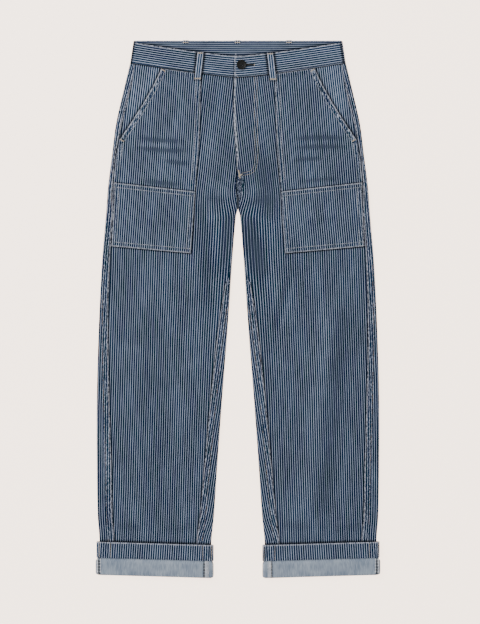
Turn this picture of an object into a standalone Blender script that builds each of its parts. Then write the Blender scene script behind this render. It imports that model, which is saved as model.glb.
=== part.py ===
"""Striped denim work trousers, laid flat on their back with both hems turned up once.

Frame: +X to the wearer's left, +Y to the waist, +Z up off the surface they lie on.
The origin is at the centre of the trousers' footprint, on that surface.
Lengths are in metres. "w" is a distance from the centre line, the same on both legs.
"""

import math

import bmesh
import bpy
from mathutils import Vector

# Cloth
CLOTH = 0.0013  # one layer of denim
GAP = 0.0003  # air between neighbouring pieces
LAYER = CLOTH + GAP  # how far a sewn-on layer stands above the layer below it
BAND_CLOTH = 0.0026  # the waistband, two layers and its turnings
LOOP_CLOTH = 0.0015  # a belt loop, folded flat

# Lengths along the body
WAIST_SIDE_Y = 0.5055  # top edge of the front waistband at the side folds
WAIST_BACK_Y = 0.5072  # top edge of the back waistband
WAIST_DIP = 0.0257  # how far the front's top edge drops to the middle
WAIST_DIP_POWER = 1.18
WAIST_DIP_ROUND = 0.0080  # roundness of the dip at the middle
BAND_HEIGHT = 0.0390
WAIST_JOIN = 0.0009  # from the waistband's bottom edge down to the panels
CROTCH_Y = 0.1914
HEM_INNER_Y = -0.5097  # lowest point of each leg, at its inner fold
HEM_SLOPE = 0.0290  # rise of the hem line for each metre outwards

# Waistband
WAIST_HALF = 0.1984  # half width at the top edge
WAIST_FLARE = 0.0059  # added half width at the bottom edge
BAND_TOP_Z = 0.0086
BAND_FRONT_RISE = 0.0018  # the lapped end lies this much higher at the middle
BAND_UNDER_SINK = 0.0011  # and the end under it this much lower
BAND_RISE_X = (0.0750, 0.0300)  # where the lapped end comes up to that height
BAND_SINK_X = (-0.0500, -0.0100)  # and the end under it goes down
BAND_ROWS = 3
UNDERLAP_X = 0.0300  # end of the waistband under the lap
FLY_X = -0.0066  # end of the waistband over it

# Turn-ups
TURN_UP = 0.0630  # depth of the turn-up
HEM_BAND = 0.0300  # depth of the hem allowance shown on it
TURN_UP_INNER = 0.0462
TURN_UP_OUTER = 0.2708
TURN_UP_NOSE = 0.0040  # roundness of the bottom fold
TURN_UP_STEP = 0.0060  # how far below the hem band the cloth comes up level with it
TURN_UP_STEP_GAP = 0.0010

# Heights the back is lifted to where something lies under it
LOOP_LIFT = LOOP_CLOTH + GAP
LOOP_LIFT_Y = (0.4300, 0.4530)
TURN_UP_LIFT = 2 * LAYER
TURN_UP_LIFT_RUN = 0.0300
TURN_UP_LIFT_MARGIN = 0.0020

FOLD_FALL = 0.0400  # how far in from a folded edge the cloth stays lifted
LAP_UNDER = 0.0140  # cloth hidden under a felled seam
HIP_Y = 0.2500  # below this the rows of a panel no longer follow the waistband
HEM_RUN_Y = (-0.3800, -0.4500)  # where the rows come to follow the slope of the hem
WRAP_HEIGHT = 0.0060  # how high a back panel's row is once it is on the front

# A leg, waist to hem: outline, and how far the back panel laps on to the front at each seam
LEG_COLUMNS = ("y", "outer", "inner", "side_lap", "inseam_lap")
LEG_ROWS = (
    (0.4700, 0.2045, 0.00015, 0.0085, 0.0000),
    (0.4128, 0.2185, 0.00015, 0.0125, 0.0000),
    (0.3520, 0.2318, 0.00015, 0.0110, 0.0000),
    (0.2912, 0.2394, 0.00015, 0.0065, 0.0000),
    (0.2304, 0.2470, 0.00015, 0.0090, 0.0000),
    (0.1914, 0.2497, 0.00020, 0.0120, 0.0040),
    (0.1772, 0.2508, 0.00380, 0.0130, 0.0040),
    (0.0860, 0.2584, 0.01140, 0.0145, 0.0060),
    (-0.0280, 0.2641, 0.01900, 0.0175, 0.0170),
    (-0.1648, 0.2679, 0.02960, 0.0235, 0.0215),
    (-0.3016, 0.2679, 0.03950, 0.0275, 0.0245),
    (-0.3928, 0.2664, 0.04560, 0.0280, 0.0265),
    (-0.4422, 0.2628, 0.05050, 0.0285, 0.0275),
    (-0.5100, 0.2620, 0.05100, 0.0285, 0.0280),
)

# Thickness of a leg as it lies, back and front together
HEIGHT_COLUMNS = ("y", "middle", "edge")
HEIGHT_ROWS = (
    (0.4700, 0.0044, 0.0050),
    (0.4000, 0.0060, 0.0064),
    (0.2500, 0.0062, 0.0062),
    (0.1000, 0.0054, 0.0060),
    (-0.2000, 0.0048, 0.0056),
    (-0.4000, 0.0047, 0.0054),
    (-0.5100, 0.0042, 0.0046),
)

# How the inseam leaves the folded edge: turn of each panel round it, in half circles
ROLL_COLUMNS = ("y", "front", "back")
ROLL_ROWS = (
    (0.1950, 0.00, 0.00),
    (0.1870, 0.08, 0.30),
    (0.1760, 0.40, 0.48),
    (0.1250, 0.40, 0.48),
    (0.0860, 0.30, 0.75),
    (0.0550, 0.00, 1.00),
    (-0.5100, 0.00, 1.00),
)
LAPPED_ROLL = (0.9000, 1.0000)  # turns at which the back begins to lie on the front
CROTCH_TURN = (0.0030, -0.0120)  # from flat to turned, up and down from the crotch
ROLL_FLAT = 1 / 3  # share of the front's last spans that stays flat before it turns
LAP_BUNCH = 0.05  # share of the turn between points that bunch at an edge with no lap

# The front's middle edges, from the waist to the crotch
FLY_COLUMNS = ("y", "under_x", "over_x")
FLY_ROWS = (
    (0.4700, 0.0080, -0.0066),
    (0.3710, 0.0080, -0.0080),
    (0.2800, 0.0070, -0.0019),
    (0.2300, 0.0050, -0.0019),
    (0.2080, -0.0004, 0.0000),
    (0.1914, -0.0004, 0.0000),
)
FLY_LEVEL_W = (0.0450, 0.0120)  # where the lapped front comes up over the other
FLY_LEVEL_Y = (0.1880, 0.2060)

# Pockets: the outer and inner ends of lines across each patch, from its top down
POCKET_COLUMNS = ("outer_w", "outer_y", "inner_w", "inner_y")
UPPER_POCKET_ROWS = (
    (0.1450, 0.4566, 0.0703, 0.4462),
    (0.1600, 0.4250, 0.0710, 0.4120),
    (0.1796, 0.3900, 0.0718, 0.3740),
    (0.2030, 0.3530, 0.0730, 0.3350),
    (0.2262, 0.3187, 0.0741, 0.3007),
    (0.2318, 0.2820, 0.0778, 0.2640),
    (0.2356, 0.2420, 0.0816, 0.2240),
    (0.2350, 0.1800, 0.0865, 0.1650),
    (0.2372, 0.1260, 0.0890, 0.1120),
)
LOWER_POCKET_ROWS = (
    (0.2352, 0.2401, 0.0816, 0.2228),
    (0.2357, 0.2100, 0.0833, 0.1940),
    (0.2362, 0.1800, 0.0850, 0.1650),
    (0.2378, 0.1500, 0.0875, 0.1360),
    (0.2395, 0.1194, 0.0900, 0.1061),
)

# Soft folds: ends of each line on the front, its half width, and its height or depth
FOLD_COLUMNS = ("x_top", "y_top", "x_foot", "y_foot", "spread", "height")
FOLD_ROWS = (
    (-0.0400, 0.1950, -0.0360, 0.0400, 0.0090, 0.0011),
    (-0.0620, 0.1850, -0.0590, -0.0200, 0.0120, -0.0010),
    (0.0300, 0.1500, 0.0560, 0.0500, 0.0110, -0.0010),
    (0.0620, 0.1300, 0.0800, -0.0500, 0.0120, 0.0009),
    (0.2050, 0.0200, 0.1560, -0.4100, 0.0150, -0.0012),
    (0.1700, 0.0300, 0.1260, -0.4100, 0.0160, 0.0010),
    (-0.1700, 0.0000, -0.1500, -0.3800, 0.0170, -0.0009),
)
FOLD_END_RUN = 0.0500

# Belt loops
LOOP_WIDTH = 0.0115
LOOP_LENGTH = 0.0520
LOOP_STAND = 0.0008  # a front loop's slack, off what lies under it
LOOP_DROP = (0.0010, -0.0070)  # where it leaves the waistband, from the band's lower edge
LOOP_TUCK = 0.0045  # how far a back loop turns over the waistband's edge
FRONT_LOOPS = {"left": (-0.0709, -0.0058), "right": (0.0608, 0.0060)}  # top x, lean
BACK_LOOPS = {"left": -0.0992, "centre": -0.0010, "right": 0.0967}

# Button
BUTTON_X = 0.0066
BUTTON_Y = 0.4635
BUTTON_RADIUS = 0.0087
BUTTON_THICKNESS = 0.0031
BUTTON_RIM = 0.0016
BUTTON_HOLE_RADIUS = 0.0009
BUTTON_HOLE_SPACING = 0.0032

# How finely each surface is divided
FRONT_SPANS = 14
BOTTOM_SPANS = 6
ARC_SPANS = 5
LAP_SPANS = 2
POCKET_SPANS = 9
BAND_FRONT_SPANS = 10
BAND_BACK_SPANS = 9
TURN_UP_SPANS = 8
LOOP_SPANS = 8
PANEL_STOPS = (  # y of each division's start, and how many rows to the next
    (0.4700, 3),
    (0.4250, 7),
    (0.2100, 8),
    (0.1650, 4),
    (0.0450, 8),
    (-0.4000, 4),
    (-0.4450, 2),
    (-0.5040, 0),
)

SIDES = {"left": -1, "right": 1}
DENIM = (0.092, 0.127, 0.180, 1.0)
PALE_DENIM = (0.292, 0.333, 0.392, 1.0)
BUTTON_BLACK = (0.018, 0.017, 0.016, 1.0)


def smoothstep(value, start, end):
    """Rise from 0 at start to 1 at end, level at both."""
    t = min(max((value - start) / (end - start), 0.0), 1.0)
    return t * t * (3 - 2 * t)


def mix(a, b, t):
    """The value a fraction t of the way from a to b."""
    return a + (b - a) * t


def read(rows, columns, name, at):
    """Read a column of a table at any y, on straight lines smoothed at each row."""
    column = columns.index(name)
    if at >= rows[0][0]:
        return rows[0][column]
    for k in range(len(rows) - 1):
        if rows[k + 1][0] <= at:
            break
    y0, y1 = rows[k][0], rows[k + 1][0]
    v0, v1 = rows[k][column], rows[k + 1][column]
    before = rows[max(k - 1, 0)]
    after = rows[min(k + 2, len(rows) - 1)]
    m0 = (v1 - before[column]) / (y1 - before[0])
    m1 = (after[column] - v0) / (after[0] - y0)
    span = y1 - y0
    t = min(max((at - y0) / span, 0.0), 1.0)
    return (
        v0 * (1 + 2 * t) * (1 - t) ** 2
        + m0 * span * t * (1 - t) ** 2
        + v1 * t * t * (3 - 2 * t)
        + m1 * span * t * t * (t - 1)
    )


def leg(name, y):
    """A column of the leg table at y, with half a gap left where the two legs meet."""
    return max(read(LEG_ROWS, LEG_COLUMNS, name, y), GAP / 2)


def hem_y(w):
    """The bottom fold of a turn-up, which rises towards the outside of the leg."""
    return HEM_INNER_Y + HEM_SLOPE * (w - TURN_UP_INNER)


def lift(w, y):
    """Height of the back panel's underside: on the surface, except over loops and turn-ups."""
    top = hem_y(w) + TURN_UP + TURN_UP_LIFT_MARGIN
    over_turn_up = smoothstep(y, top + TURN_UP_LIFT_RUN, top)
    return LOOP_LIFT * smoothstep(y, *LOOP_LIFT_Y) + TURN_UP_LIFT * over_turn_up


def fold_relief(x, y):
    """Height added by the soft folds at a point of the front."""
    total = 0.0
    for row in FOLD_ROWS:
        fold = dict(zip(FOLD_COLUMNS, row))
        along = (fold["y_top"] - y) / (fold["y_top"] - fold["y_foot"])
        middle = mix(fold["x_top"], fold["x_foot"], along)
        end_run = FOLD_END_RUN / (fold["y_top"] - fold["y_foot"])
        ends = smoothstep(along, 0, end_run) * smoothstep(along, 1, 1 - end_run)
        total += fold["height"] * ends * math.exp(-(((x - middle) / fold["spread"]) ** 2))
    return total


def front_height(side, w, y):
    """Top of the front panel: low in the middle of a leg and lifted along its folded edges."""
    middle = read(HEIGHT_ROWS, HEIGHT_COLUMNS, "middle", y)
    edge = read(HEIGHT_ROWS, HEIGHT_COLUMNS, "edge", y)
    from_edge = leg("outer", y) - w
    if y < CROTCH_Y:
        from_edge = min(from_edge, w - leg("inner", y))
    near_edge = math.exp(-((max(from_edge, 0.0) / FOLD_FALL) ** 2))
    relief = fold_relief(side * w, y) * (1 - near_edge)
    return lift(w, y) + mix(middle, edge, near_edge) + relief


def dip(w):
    """How far the front waistband's edge has dropped below the side folds."""
    out = math.hypot(w, WAIST_DIP_ROUND) - WAIST_DIP_ROUND
    whole = math.hypot(WAIST_HALF, WAIST_DIP_ROUND) - WAIST_DIP_ROUND
    return WAIST_DIP * (1 - min(out / whole, 1.0) ** WAIST_DIP_POWER)


def make_material(name, colour, roughness):
    """A plain Principled material."""
    material = bpy.data.materials.new(name)
    material.use_nodes = True
    shader = material.node_tree.nodes["Principled BSDF"]
    shader.inputs["Base Color"].default_value = colour
    shader.inputs["Roughness"].default_value = roughness
    return material


def make_sheet(name, rows, thickness, colour, flip=False, closed=False, roughness=0.9):
    """Map a grid on to rows of points and thicken it inwards.

    Rows run down the piece and points across it, so that right, down, out is a left-handed
    set; flip turns a mirrored piece's faces out, and closed joins each row into a ring.
    """
    across = len(rows[0]) - 1
    down = len(rows) - 1
    shape = bmesh.new()
    bmesh.ops.create_grid(shape, x_segments=across, y_segments=down, size=1)
    for vertex in shape.verts:
        column = round((vertex.co.x + 1) / 2 * across)
        row = round((1 - vertex.co.y) / 2 * down)
        vertex.co = Vector(rows[row][column])
    if closed:
        bmesh.ops.remove_doubles(shape, verts=shape.verts, dist=1e-6)
    if flip:
        bmesh.ops.reverse_faces(shape, faces=shape.faces)
    mesh = bpy.data.meshes.new(name)
    shape.to_mesh(mesh)
    shape.free()
    mesh.shade_smooth()
    mesh.materials.append(make_material(name, colour, roughness))
    piece = bpy.data.objects.new(name, mesh)
    parts.objects.link(piece)
    solidify = piece.modifiers.new("thickness", "SOLIDIFY")
    solidify.thickness = thickness
    solidify.offset = -1
    solidify.use_even_offset = True
    return piece


def panel_rows():
    """The y of each row of a panel, closer together where the shape turns."""
    values = []
    for (start, count), (end, _) in zip(PANEL_STOPS, PANEL_STOPS[1:]):
        values += [mix(start, end, k / count) for k in range(count)]
    return values + [PANEL_STOPS[-1][0]]


def waist_shift(w, y):
    """Lower a front row's points to follow the waistband's dip, less and less down the hips."""
    start = WAIST_SIDE_Y - BAND_HEIGHT - WAIST_JOIN
    return y - (PANEL_STOPS[0][0] - start + dip(w)) * smoothstep(y, HIP_Y, PANEL_STOPS[0][0])


def hem_shift(w, y):
    """Raise the last rows of a panel to follow the slope of the hem."""
    return y + HEM_SLOPE * (w - TURN_UP_INNER) * smoothstep(y, *HEM_RUN_Y)


def front_edges(side, y):
    """Signed distances from the centre line of a front panel's middle and outer edges."""
    outer = leg("outer", y) - max(leg("side_lap", y) - LAP_UNDER, LAYER + 2 * CLOTH)
    if y >= CROTCH_Y:
        name = "under_x" if side < 0 else "over_x"
        return side * read(FLY_ROWS, FLY_COLUMNS, name, y), outer
    radius = fold_radius(side, y, "inner")
    return leg("inner", y) + max(leg("inseam_lap", y) - LAP_UNDER, radius + GAP), outer


def fold_radius(side, y, edge):
    """Radius of a folded edge's outside, half the height of the leg with its lapped seam."""
    w = leg(edge, y)
    return (front_height(side, w, y) + LAYER - lift(w, y)) / 2


def front_level(side, w, y):
    """The lapped front lies one layer up near the middle, and comes down away from it."""
    if side < 0:
        return 0.0
    return LAYER * smoothstep(w, *FLY_LEVEL_W) * smoothstep(y, *FLY_LEVEL_Y)


def front_panel(name, side):
    """One front, from under the side seam to the fly, and below the crotch to the inseam."""
    rows = []
    for y in panel_rows():
        inner, outer = front_edges(side, y)
        roll = math.pi * read(ROLL_ROWS, ROLL_COLUMNS, "front", y) if y < CROTCH_Y else 0.0
        row = []
        for k in range(FRONT_SPANS + 1):
            w = mix(outer, inner, k / FRONT_SPANS)
            place = hem_shift(w, waist_shift(w, y))
            z = front_height(side, max(w, 0.0), place) + front_level(side, w, place)
            row.append((side * w, place, z))
        if y < CROTCH_Y and roll > 0:
            row = row[:-ARC_SPANS] + roll_down(side, y, row, roll)
        rows.append(row)
    return make_sheet(name, rows, CLOTH, DENIM, flip=side > 0)


def roll_down(side, y, row, roll):
    """The last points of a front row, turned down round the inner fold."""
    radius = fold_radius(side, y, "inner")
    centre = leg("inner", y) + radius + GAP
    start_x, place, start_z = row[-ARC_SPANS - 1]
    arc = []
    for k in range(1, ARC_SPANS + 1):
        t = k / ARC_SPANS
        angle = roll * max(t - ROLL_FLAT, 0.0) / (1 - ROLL_FLAT)
        flat = mix(abs(start_x), centre, min(t / ROLL_FLAT, 1.0))
        w = flat - (radius - LAYER) * math.sin(angle)
        low = lift(w, place) + radius
        top = front_height(side, max(flat, 0.0), place)
        z = top if angle == 0 else low + (radius - LAYER) * math.cos(angle)
        arc.append((side * w, place, z))
    return arc


def back_row(side, y):
    """Points round a back panel, from the inseam, under the leg and over to the side seam."""
    outer = leg("outer", y)
    side_radius = fold_radius(side, y, "outer")
    row = inner_points(side, y, side_radius)
    start = row[-1][0]
    end = outer - side_radius
    for k in range(1, BOTTOM_SPANS):
        w = mix(start, end, k / BOTTOM_SPANS)
        row.append((w, lift(w, y)))
    for k in range(ARC_SPANS + 1):
        angle = math.pi * k / ARC_SPANS
        w = end + side_radius * math.sin(angle)
        row.append((w, lift(w, y) + side_radius * (1 - math.cos(angle))))
    lap_end = outer - max(leg("side_lap", y), side_radius + GAP)
    for k in range(1, LAP_SPANS + 1):
        w = mix(end, lap_end, k / LAP_SPANS)
        row.append((w, front_height(side, w, y) + LAYER))
    return row


def inner_points(side, y, waist_radius):
    """The first points of a back row: its lap on the front, if any, and its turn under the leg.

    Where the seam lies on the fold itself there is no lap, and its points bunch at the edge.
    """
    inner = leg("inner", y)
    radius = fold_radius(side, y, "inner") if y < CROTCH_Y else waist_radius
    roll = read(ROLL_ROWS, ROLL_COLUMNS, "back", y) if y < CROTCH_Y else 0.0
    turned = smoothstep(y, CROTCH_Y + CROTCH_TURN[0], CROTCH_Y + CROTCH_TURN[1])
    lapped = smoothstep(roll, *LAPPED_ROLL)
    lap = max(leg("inseam_lap", y) - radius, GAP)
    count = LAP_SPANS + ARC_SPANS
    points = []
    for k in range(count + 1):
        bunched = (1 - lapped) * LAP_BUNCH * min(k, LAP_SPANS)
        round_share = mix(bunched, 1.0, max(k - LAP_SPANS, 0) / ARC_SPANS)
        angle = math.pi * roll * (1 - round_share)
        on_front = lapped * max(1 - k / LAP_SPANS, 0.0)
        w = inner + radius * (1 - math.sin(angle)) + lap * on_front
        z = lift(w, y) + radius * (1 - math.cos(angle))
        if on_front > 0:
            z = mix(z, front_height(side, w, y) + LAYER, lapped)
        flat = mix(inner, inner + radius, k / count)
        points.append((mix(flat, w, turned), mix(lift(flat, y), z, turned)))
    return points


def back_panel(name, side):
    """One back, flat on the surface, rolled over both folds of the leg."""
    rows = []
    for y in panel_rows():
        row = []
        for w, z in back_row(side, y):
            place = hem_shift(w, y)
            top = smoothstep(y, HIP_Y, PANEL_STOPS[0][0])
            wrapped = smoothstep(z - lift(w, y), 0.0, WRAP_HEIGHT)
            place -= top * mix(
                PANEL_STOPS[0][0] - (WAIST_BACK_Y - BAND_HEIGHT - WAIST_JOIN),
                PANEL_STOPS[0][0] - (WAIST_SIDE_Y - BAND_HEIGHT - WAIST_JOIN) + dip(w),
                wrapped,
            )
            row.append((side * w, place, z))
        rows.append(row)
    return make_sheet(name, rows, CLOTH, DENIM, flip=side > 0)


def pocket(name, side, table, level):
    """A patch laid on the front, its points moved out by its number of layers."""
    rows = []
    for values in table:
        line = dict(zip(POCKET_COLUMNS, values))
        row = []
        for n in range(POCKET_SPANS + 1):
            w = mix(line["outer_w"], line["inner_w"], n / POCKET_SPANS)
            y = mix(line["outer_y"], line["inner_y"], n / POCKET_SPANS)
            z = front_height(side, w, y) + front_level(side, w, y) + level * LAYER
            row.append((side * w, y, z))
        rows.append(row)
    return make_sheet(name, rows, CLOTH, DENIM, flip=side > 0)


def band_top(x, lapped):
    """Top of the front waistband: the lapped end rises over the end under it."""
    if lapped:
        return BAND_TOP_Z + BAND_FRONT_RISE * smoothstep(x, *BAND_RISE_X)
    return BAND_TOP_Z - BAND_UNDER_SINK * smoothstep(x, *BAND_SINK_X)


def waistband(name):
    """One strip: front left, round the left fold, the back, the right fold, front right."""
    radius = (BAND_TOP_Z - LOOP_LIFT) / 2
    rows = []
    for n in range(BAND_ROWS + 1):
        v = n / BAND_ROWS
        half = WAIST_HALF + WAIST_FLARE * v
        fold = half - radius
        row = []
        for k in range(BAND_FRONT_SPANS):
            x = mix(UNDERLAP_X, -fold, k / BAND_FRONT_SPANS)
            row.append((x, WAIST_SIDE_Y - dip(x), band_top(x, False)))
        row += band_fold(-1, fold, radius, 0)
        for k in range(1, BAND_BACK_SPANS):
            row.append((mix(-fold, fold, k / BAND_BACK_SPANS), WAIST_BACK_Y, LOOP_LIFT))
        row += band_fold(1, fold, radius, 1)
        for k in range(1, BAND_FRONT_SPANS + 1):
            x = mix(fold, FLY_X, k / BAND_FRONT_SPANS)
            row.append((x, WAIST_SIDE_Y - dip(x), band_top(x, True)))
        rows.append([(x, y - BAND_HEIGHT * v, z) for x, y, z in row])
    return make_sheet(name, rows, BAND_CLOTH, DENIM, flip=True)


def band_fold(side, fold, radius, rising):
    """The waistband's points round a side fold, downwards or, if rising, upwards."""
    arc = []
    for k in range(ARC_SPANS + 1):
        angle = math.pi * k / ARC_SPANS
        if rising:
            angle = math.pi - angle
        x = side * (fold + radius * math.sin(angle))
        y = mix(WAIST_SIDE_Y, WAIST_BACK_Y, (1 - math.cos(angle)) / 2)
        arc.append((x, y, LOOP_LIFT + radius * (1 + math.cos(angle))))
    return arc


def ring_row(side, inner, outer, low, level, from_hem):
    """Points once round a leg at a distance up from the hem, closed on itself."""
    def top(w):
        return front_height(side, w, hem_y(w) + TURN_UP) + level * LAYER

    outer_radius = (top(outer) - low) / 2
    inner_radius = (top(inner) - low) / 2
    start, end = outer - outer_radius, inner + inner_radius
    across = [mix(start, end, k / TURN_UP_SPANS) for k in range(TURN_UP_SPANS + 1)]
    turns = [math.pi * k / ARC_SPANS for k in range(1, ARC_SPANS)]
    ring = [(w, top(w)) for w in across]
    for angle in turns:
        reach = end - inner_radius * math.sin(angle)
        ring.append((reach, low + inner_radius * (1 + math.cos(angle))))
    ring += [(w, low) for w in reversed(across)]
    for angle in reversed(turns):
        reach = start + outer_radius * math.sin(angle)
        ring.append((reach, low + outer_radius * (1 + math.cos(angle))))
    ring.append(ring[0])
    return [(side * w, hem_y(w) + from_hem, z) for w, z in ring]


def turn_up(name, side):
    """The leg turned up outside itself: its wrong side, under the hem band and below it."""
    nose = TURN_UP_NOSE
    step_top = TURN_UP - HEM_BAND - TURN_UP_STEP_GAP
    sections = (  # up from the hem, in from the outline, layers up
        (TURN_UP - LAYER, LAYER, 2),
        (step_top, LAYER, 2),
        (step_top - TURN_UP_STEP, 0.0, 3),
        (nose * 2.5, 0.0, 3),
        (nose, 0.0, 3),
        (nose * 0.3, nose * 0.3, 2.6),
        (0.0, nose, 1.9),
    )
    rows = []
    for up, inset, level in sections:
        low = (3 - level) * LAYER
        inner, outer = TURN_UP_INNER + inset, TURN_UP_OUTER - inset
        rows.append(ring_row(side, inner, outer, low, level, up))
    return make_sheet(name, rows, CLOTH, PALE_DENIM, flip=side > 0, closed=True)


def hem_band(name, side):
    """The hem allowance, right side out, round the upper half of the turn-up."""
    rows = []
    for up in (TURN_UP, TURN_UP - HEM_BAND / 2, TURN_UP - HEM_BAND):
        rows.append(ring_row(side, TURN_UP_INNER, TURN_UP_OUTER, 0.0, 3, up))
    return make_sheet(name, rows, CLOTH, DENIM, flip=side > 0, closed=True)


def front_loop(name, top_x, lean):
    """A belt loop over the front waistband, its foot on the pocket or the front below."""
    side = 1 if top_x > 0 else -1
    top_y = WAIST_SIDE_Y - dip(top_x)
    foot_y = top_y - BAND_HEIGHT
    rows = []
    for k in range(LOOP_SPANS + 1):
        t = k / LOOP_SPANS
        x = top_x + lean * t
        y = top_y - LOOP_LENGTH * t
        on_band = band_top(x, side > 0)
        w = abs(x)
        below = front_height(side, w, y) + front_level(side, w, y) + LAYER
        off_band = smoothstep(y, foot_y + LOOP_DROP[0], foot_y + LOOP_DROP[1])
        z = mix(on_band, below, off_band) + LOOP_STAND + LOOP_CLOTH
        rows.append([(x - LOOP_WIDTH / 2, y, z), (x, y, z), (x + LOOP_WIDTH / 2, y, z)])
    return make_sheet(name, rows, LOOP_CLOTH, DENIM)


def back_loop(name, x):
    """A belt loop under the back waistband, its top turned over the band's edge."""
    radius = (BAND_CLOTH + 2 * GAP + 2 * LOOP_CLOTH) / 2
    turn_y = WAIST_BACK_Y - 2 * GAP
    path = [(turn_y - LOOP_TUCK, 2 * radius)]
    for k in range(ARC_SPANS + 1):
        angle = math.pi * k / ARC_SPANS
        path.append((turn_y + radius * math.sin(angle), radius * (1 + math.cos(angle))))
    path += [(turn_y - LOOP_LENGTH / 2, 0.0), (turn_y - LOOP_LENGTH + LOOP_TUCK, 0.0)]
    half = LOOP_WIDTH / 2
    rows = [[(x - half, y, z), (x, y, z), (x + half, y, z)] for y, z in path]
    return make_sheet(name, rows, LOOP_CLOTH, DENIM, flip=True)


def waist_button(name):
    """A turned four-hole button with a raised rim, on the lapped end of the waistband."""
    z = band_top(BUTTON_X, True) + GAP
    r, h, rim = BUTTON_RADIUS, BUTTON_THICKNESS, BUTTON_RIM
    profile = (  # from the middle of the dish, over the rim and back under to the middle
        (0.0, h * 0.62),
        (r - 2.6 * rim, h * 0.62),
        (r - 1.6 * rim, h * 0.95),
        (r - rim, h),
        (r - 0.3 * rim, h * 0.9),
        (r, h * 0.6),
        (r - 0.2 * rim, h * 0.25),
        (r - rim, 0.0),
        (0.0, 0.0),
    )
    shape = bmesh.new()
    points = [shape.verts.new((px, 0.0, pz)) for px, pz in profile]
    for a, b in zip(points, points[1:]):
        shape.edges.new((a, b))
    mesh = bpy.data.meshes.new(name)
    shape.to_mesh(mesh)
    shape.free()
    mesh.materials.append(make_material(name, BUTTON_BLACK, 0.35))
    button = bpy.data.objects.new(name, mesh)
    button.location = (BUTTON_X, BUTTON_Y, z)
    parts.objects.link(button)
    turn = button.modifiers.new("turn", "SCREW")
    turn.steps = 24
    turn.render_steps = 24
    turn.use_merge_vertices = True
    turn.merge_threshold = 0.00001
    turn.use_normal_calculate = True
    offset = BUTTON_HOLE_SPACING / 2
    for k in range(4):
        angle = math.pi / 4 + k * math.pi / 2
        reach = offset * math.sqrt(2)
        place = (BUTTON_X + reach * math.cos(angle), BUTTON_Y + reach * math.sin(angle), z + h / 2)
        cutter = hole_cutter(f"button_hole_{k + 1}", place)
        cut = button.modifiers.new(cutter.name, "BOOLEAN")
        cut.operation = "DIFFERENCE"
        cut.solver = "EXACT"
        cut.object = cutter
    return button


def hole_cutter(name, place):
    """A small upright cylinder that cuts one of the button's holes."""
    shape = bmesh.new()
    bmesh.ops.create_cone(
        shape,
        cap_ends=True,
        segments=10,
        radius1=BUTTON_HOLE_RADIUS,
        radius2=BUTTON_HOLE_RADIUS,
        depth=BUTTON_THICKNESS * 3,
    )
    mesh = bpy.data.meshes.new(name)
    shape.to_mesh(mesh)
    shape.free()
    cutter = bpy.data.objects.new(name, mesh)
    cutter.location = place
    cutter.hide_render = True
    cutter.display_type = "WIRE"
    cutters.objects.link(cutter)
    return cutter


for old in list(bpy.data.objects):
    bpy.data.objects.remove(old)

parts = bpy.data.collections.new("trousers")
cutters = bpy.data.collections.new("cutters")
bpy.context.scene.collection.children.link(parts)
bpy.context.scene.collection.children.link(cutters)

for word, sign in SIDES.items():
    front_panel(f"front_{word}", sign)
    back_panel(f"back_{word}", sign)
    pocket(f"pocket_upper_{word}", sign, UPPER_POCKET_ROWS, 1)
    pocket(f"pocket_lower_{word}", sign, LOWER_POCKET_ROWS, 2)
    turn_up(f"turn_up_{word}", sign)
    hem_band(f"hem_band_{word}", sign)
    front_loop(f"belt_loop_front_{word}", *FRONT_LOOPS[word])
waistband("waistband")
for word, loop_x in BACK_LOOPS.items():
    back_loop(f"belt_loop_back_{word}", loop_x)
waist_button("waist_button")
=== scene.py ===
"""Striped denim work trousers laid flat, dressed for the studio: cloth, sewing and button.

The trousers lie on their back on a pale floor and are seen from straight above.
Frame: +X to the wearer's left, +Y to the waist, +Z up; all lengths are in metres.
"w" is a distance from the centre line, the same on both legs; "side" is -1 or 1.
"""

import logging
import math
from collections.abc import Callable
from dataclasses import dataclass, field
from enum import Enum
from functools import partial

import bmesh
import bpy
import numpy as np
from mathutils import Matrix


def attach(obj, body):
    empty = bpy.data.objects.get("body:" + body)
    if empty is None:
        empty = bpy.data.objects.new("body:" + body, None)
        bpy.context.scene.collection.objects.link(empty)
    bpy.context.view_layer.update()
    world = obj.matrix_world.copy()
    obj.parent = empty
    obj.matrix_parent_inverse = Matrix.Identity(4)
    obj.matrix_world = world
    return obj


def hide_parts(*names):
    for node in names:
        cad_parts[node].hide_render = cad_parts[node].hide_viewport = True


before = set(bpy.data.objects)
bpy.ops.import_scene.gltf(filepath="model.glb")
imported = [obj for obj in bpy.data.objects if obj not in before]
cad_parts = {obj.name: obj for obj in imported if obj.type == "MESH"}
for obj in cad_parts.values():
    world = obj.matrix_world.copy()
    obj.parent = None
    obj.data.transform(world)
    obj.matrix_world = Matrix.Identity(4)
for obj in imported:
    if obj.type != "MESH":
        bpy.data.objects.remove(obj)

Array = np.ndarray
log = logging.getLogger("trousers")

BODY = "root"
SIDES = {"left": -1, "right": 1}
UV_MAP = "cloth"
# the cloth's attributes: wear with painted crease highlight and shade; distance from a worn edge;
# distance from a groove darkened with unwashed dye and painted shade; puckering
WEAR_AND_SHADE, EDGE, GROOVE_DYE_AND_SHADE, BEADS = "wear_and_shade", "edge", "groove_dye_and_shade", "beads"
FAR = 0.05  # distance from an edge that counts as nowhere near it
THICK_STEP = 0.6  # share of a distance that counts, so that the painted shade beside a thick step reaches wider
UP = np.array([0.0, 0.0, 1.0])
PLAIN = {WEAR_AND_SHADE: 0.0, EDGE: FAR, GROOVE_DYE_AND_SHADE: FAR, BEADS: 0.0}


class Slot(Enum):
    """The record's material slots."""

    DENIM = "striped_denim"
    WRONG_SIDE = "denim_wrong_side"
    BUTTON = "button_black"


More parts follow.
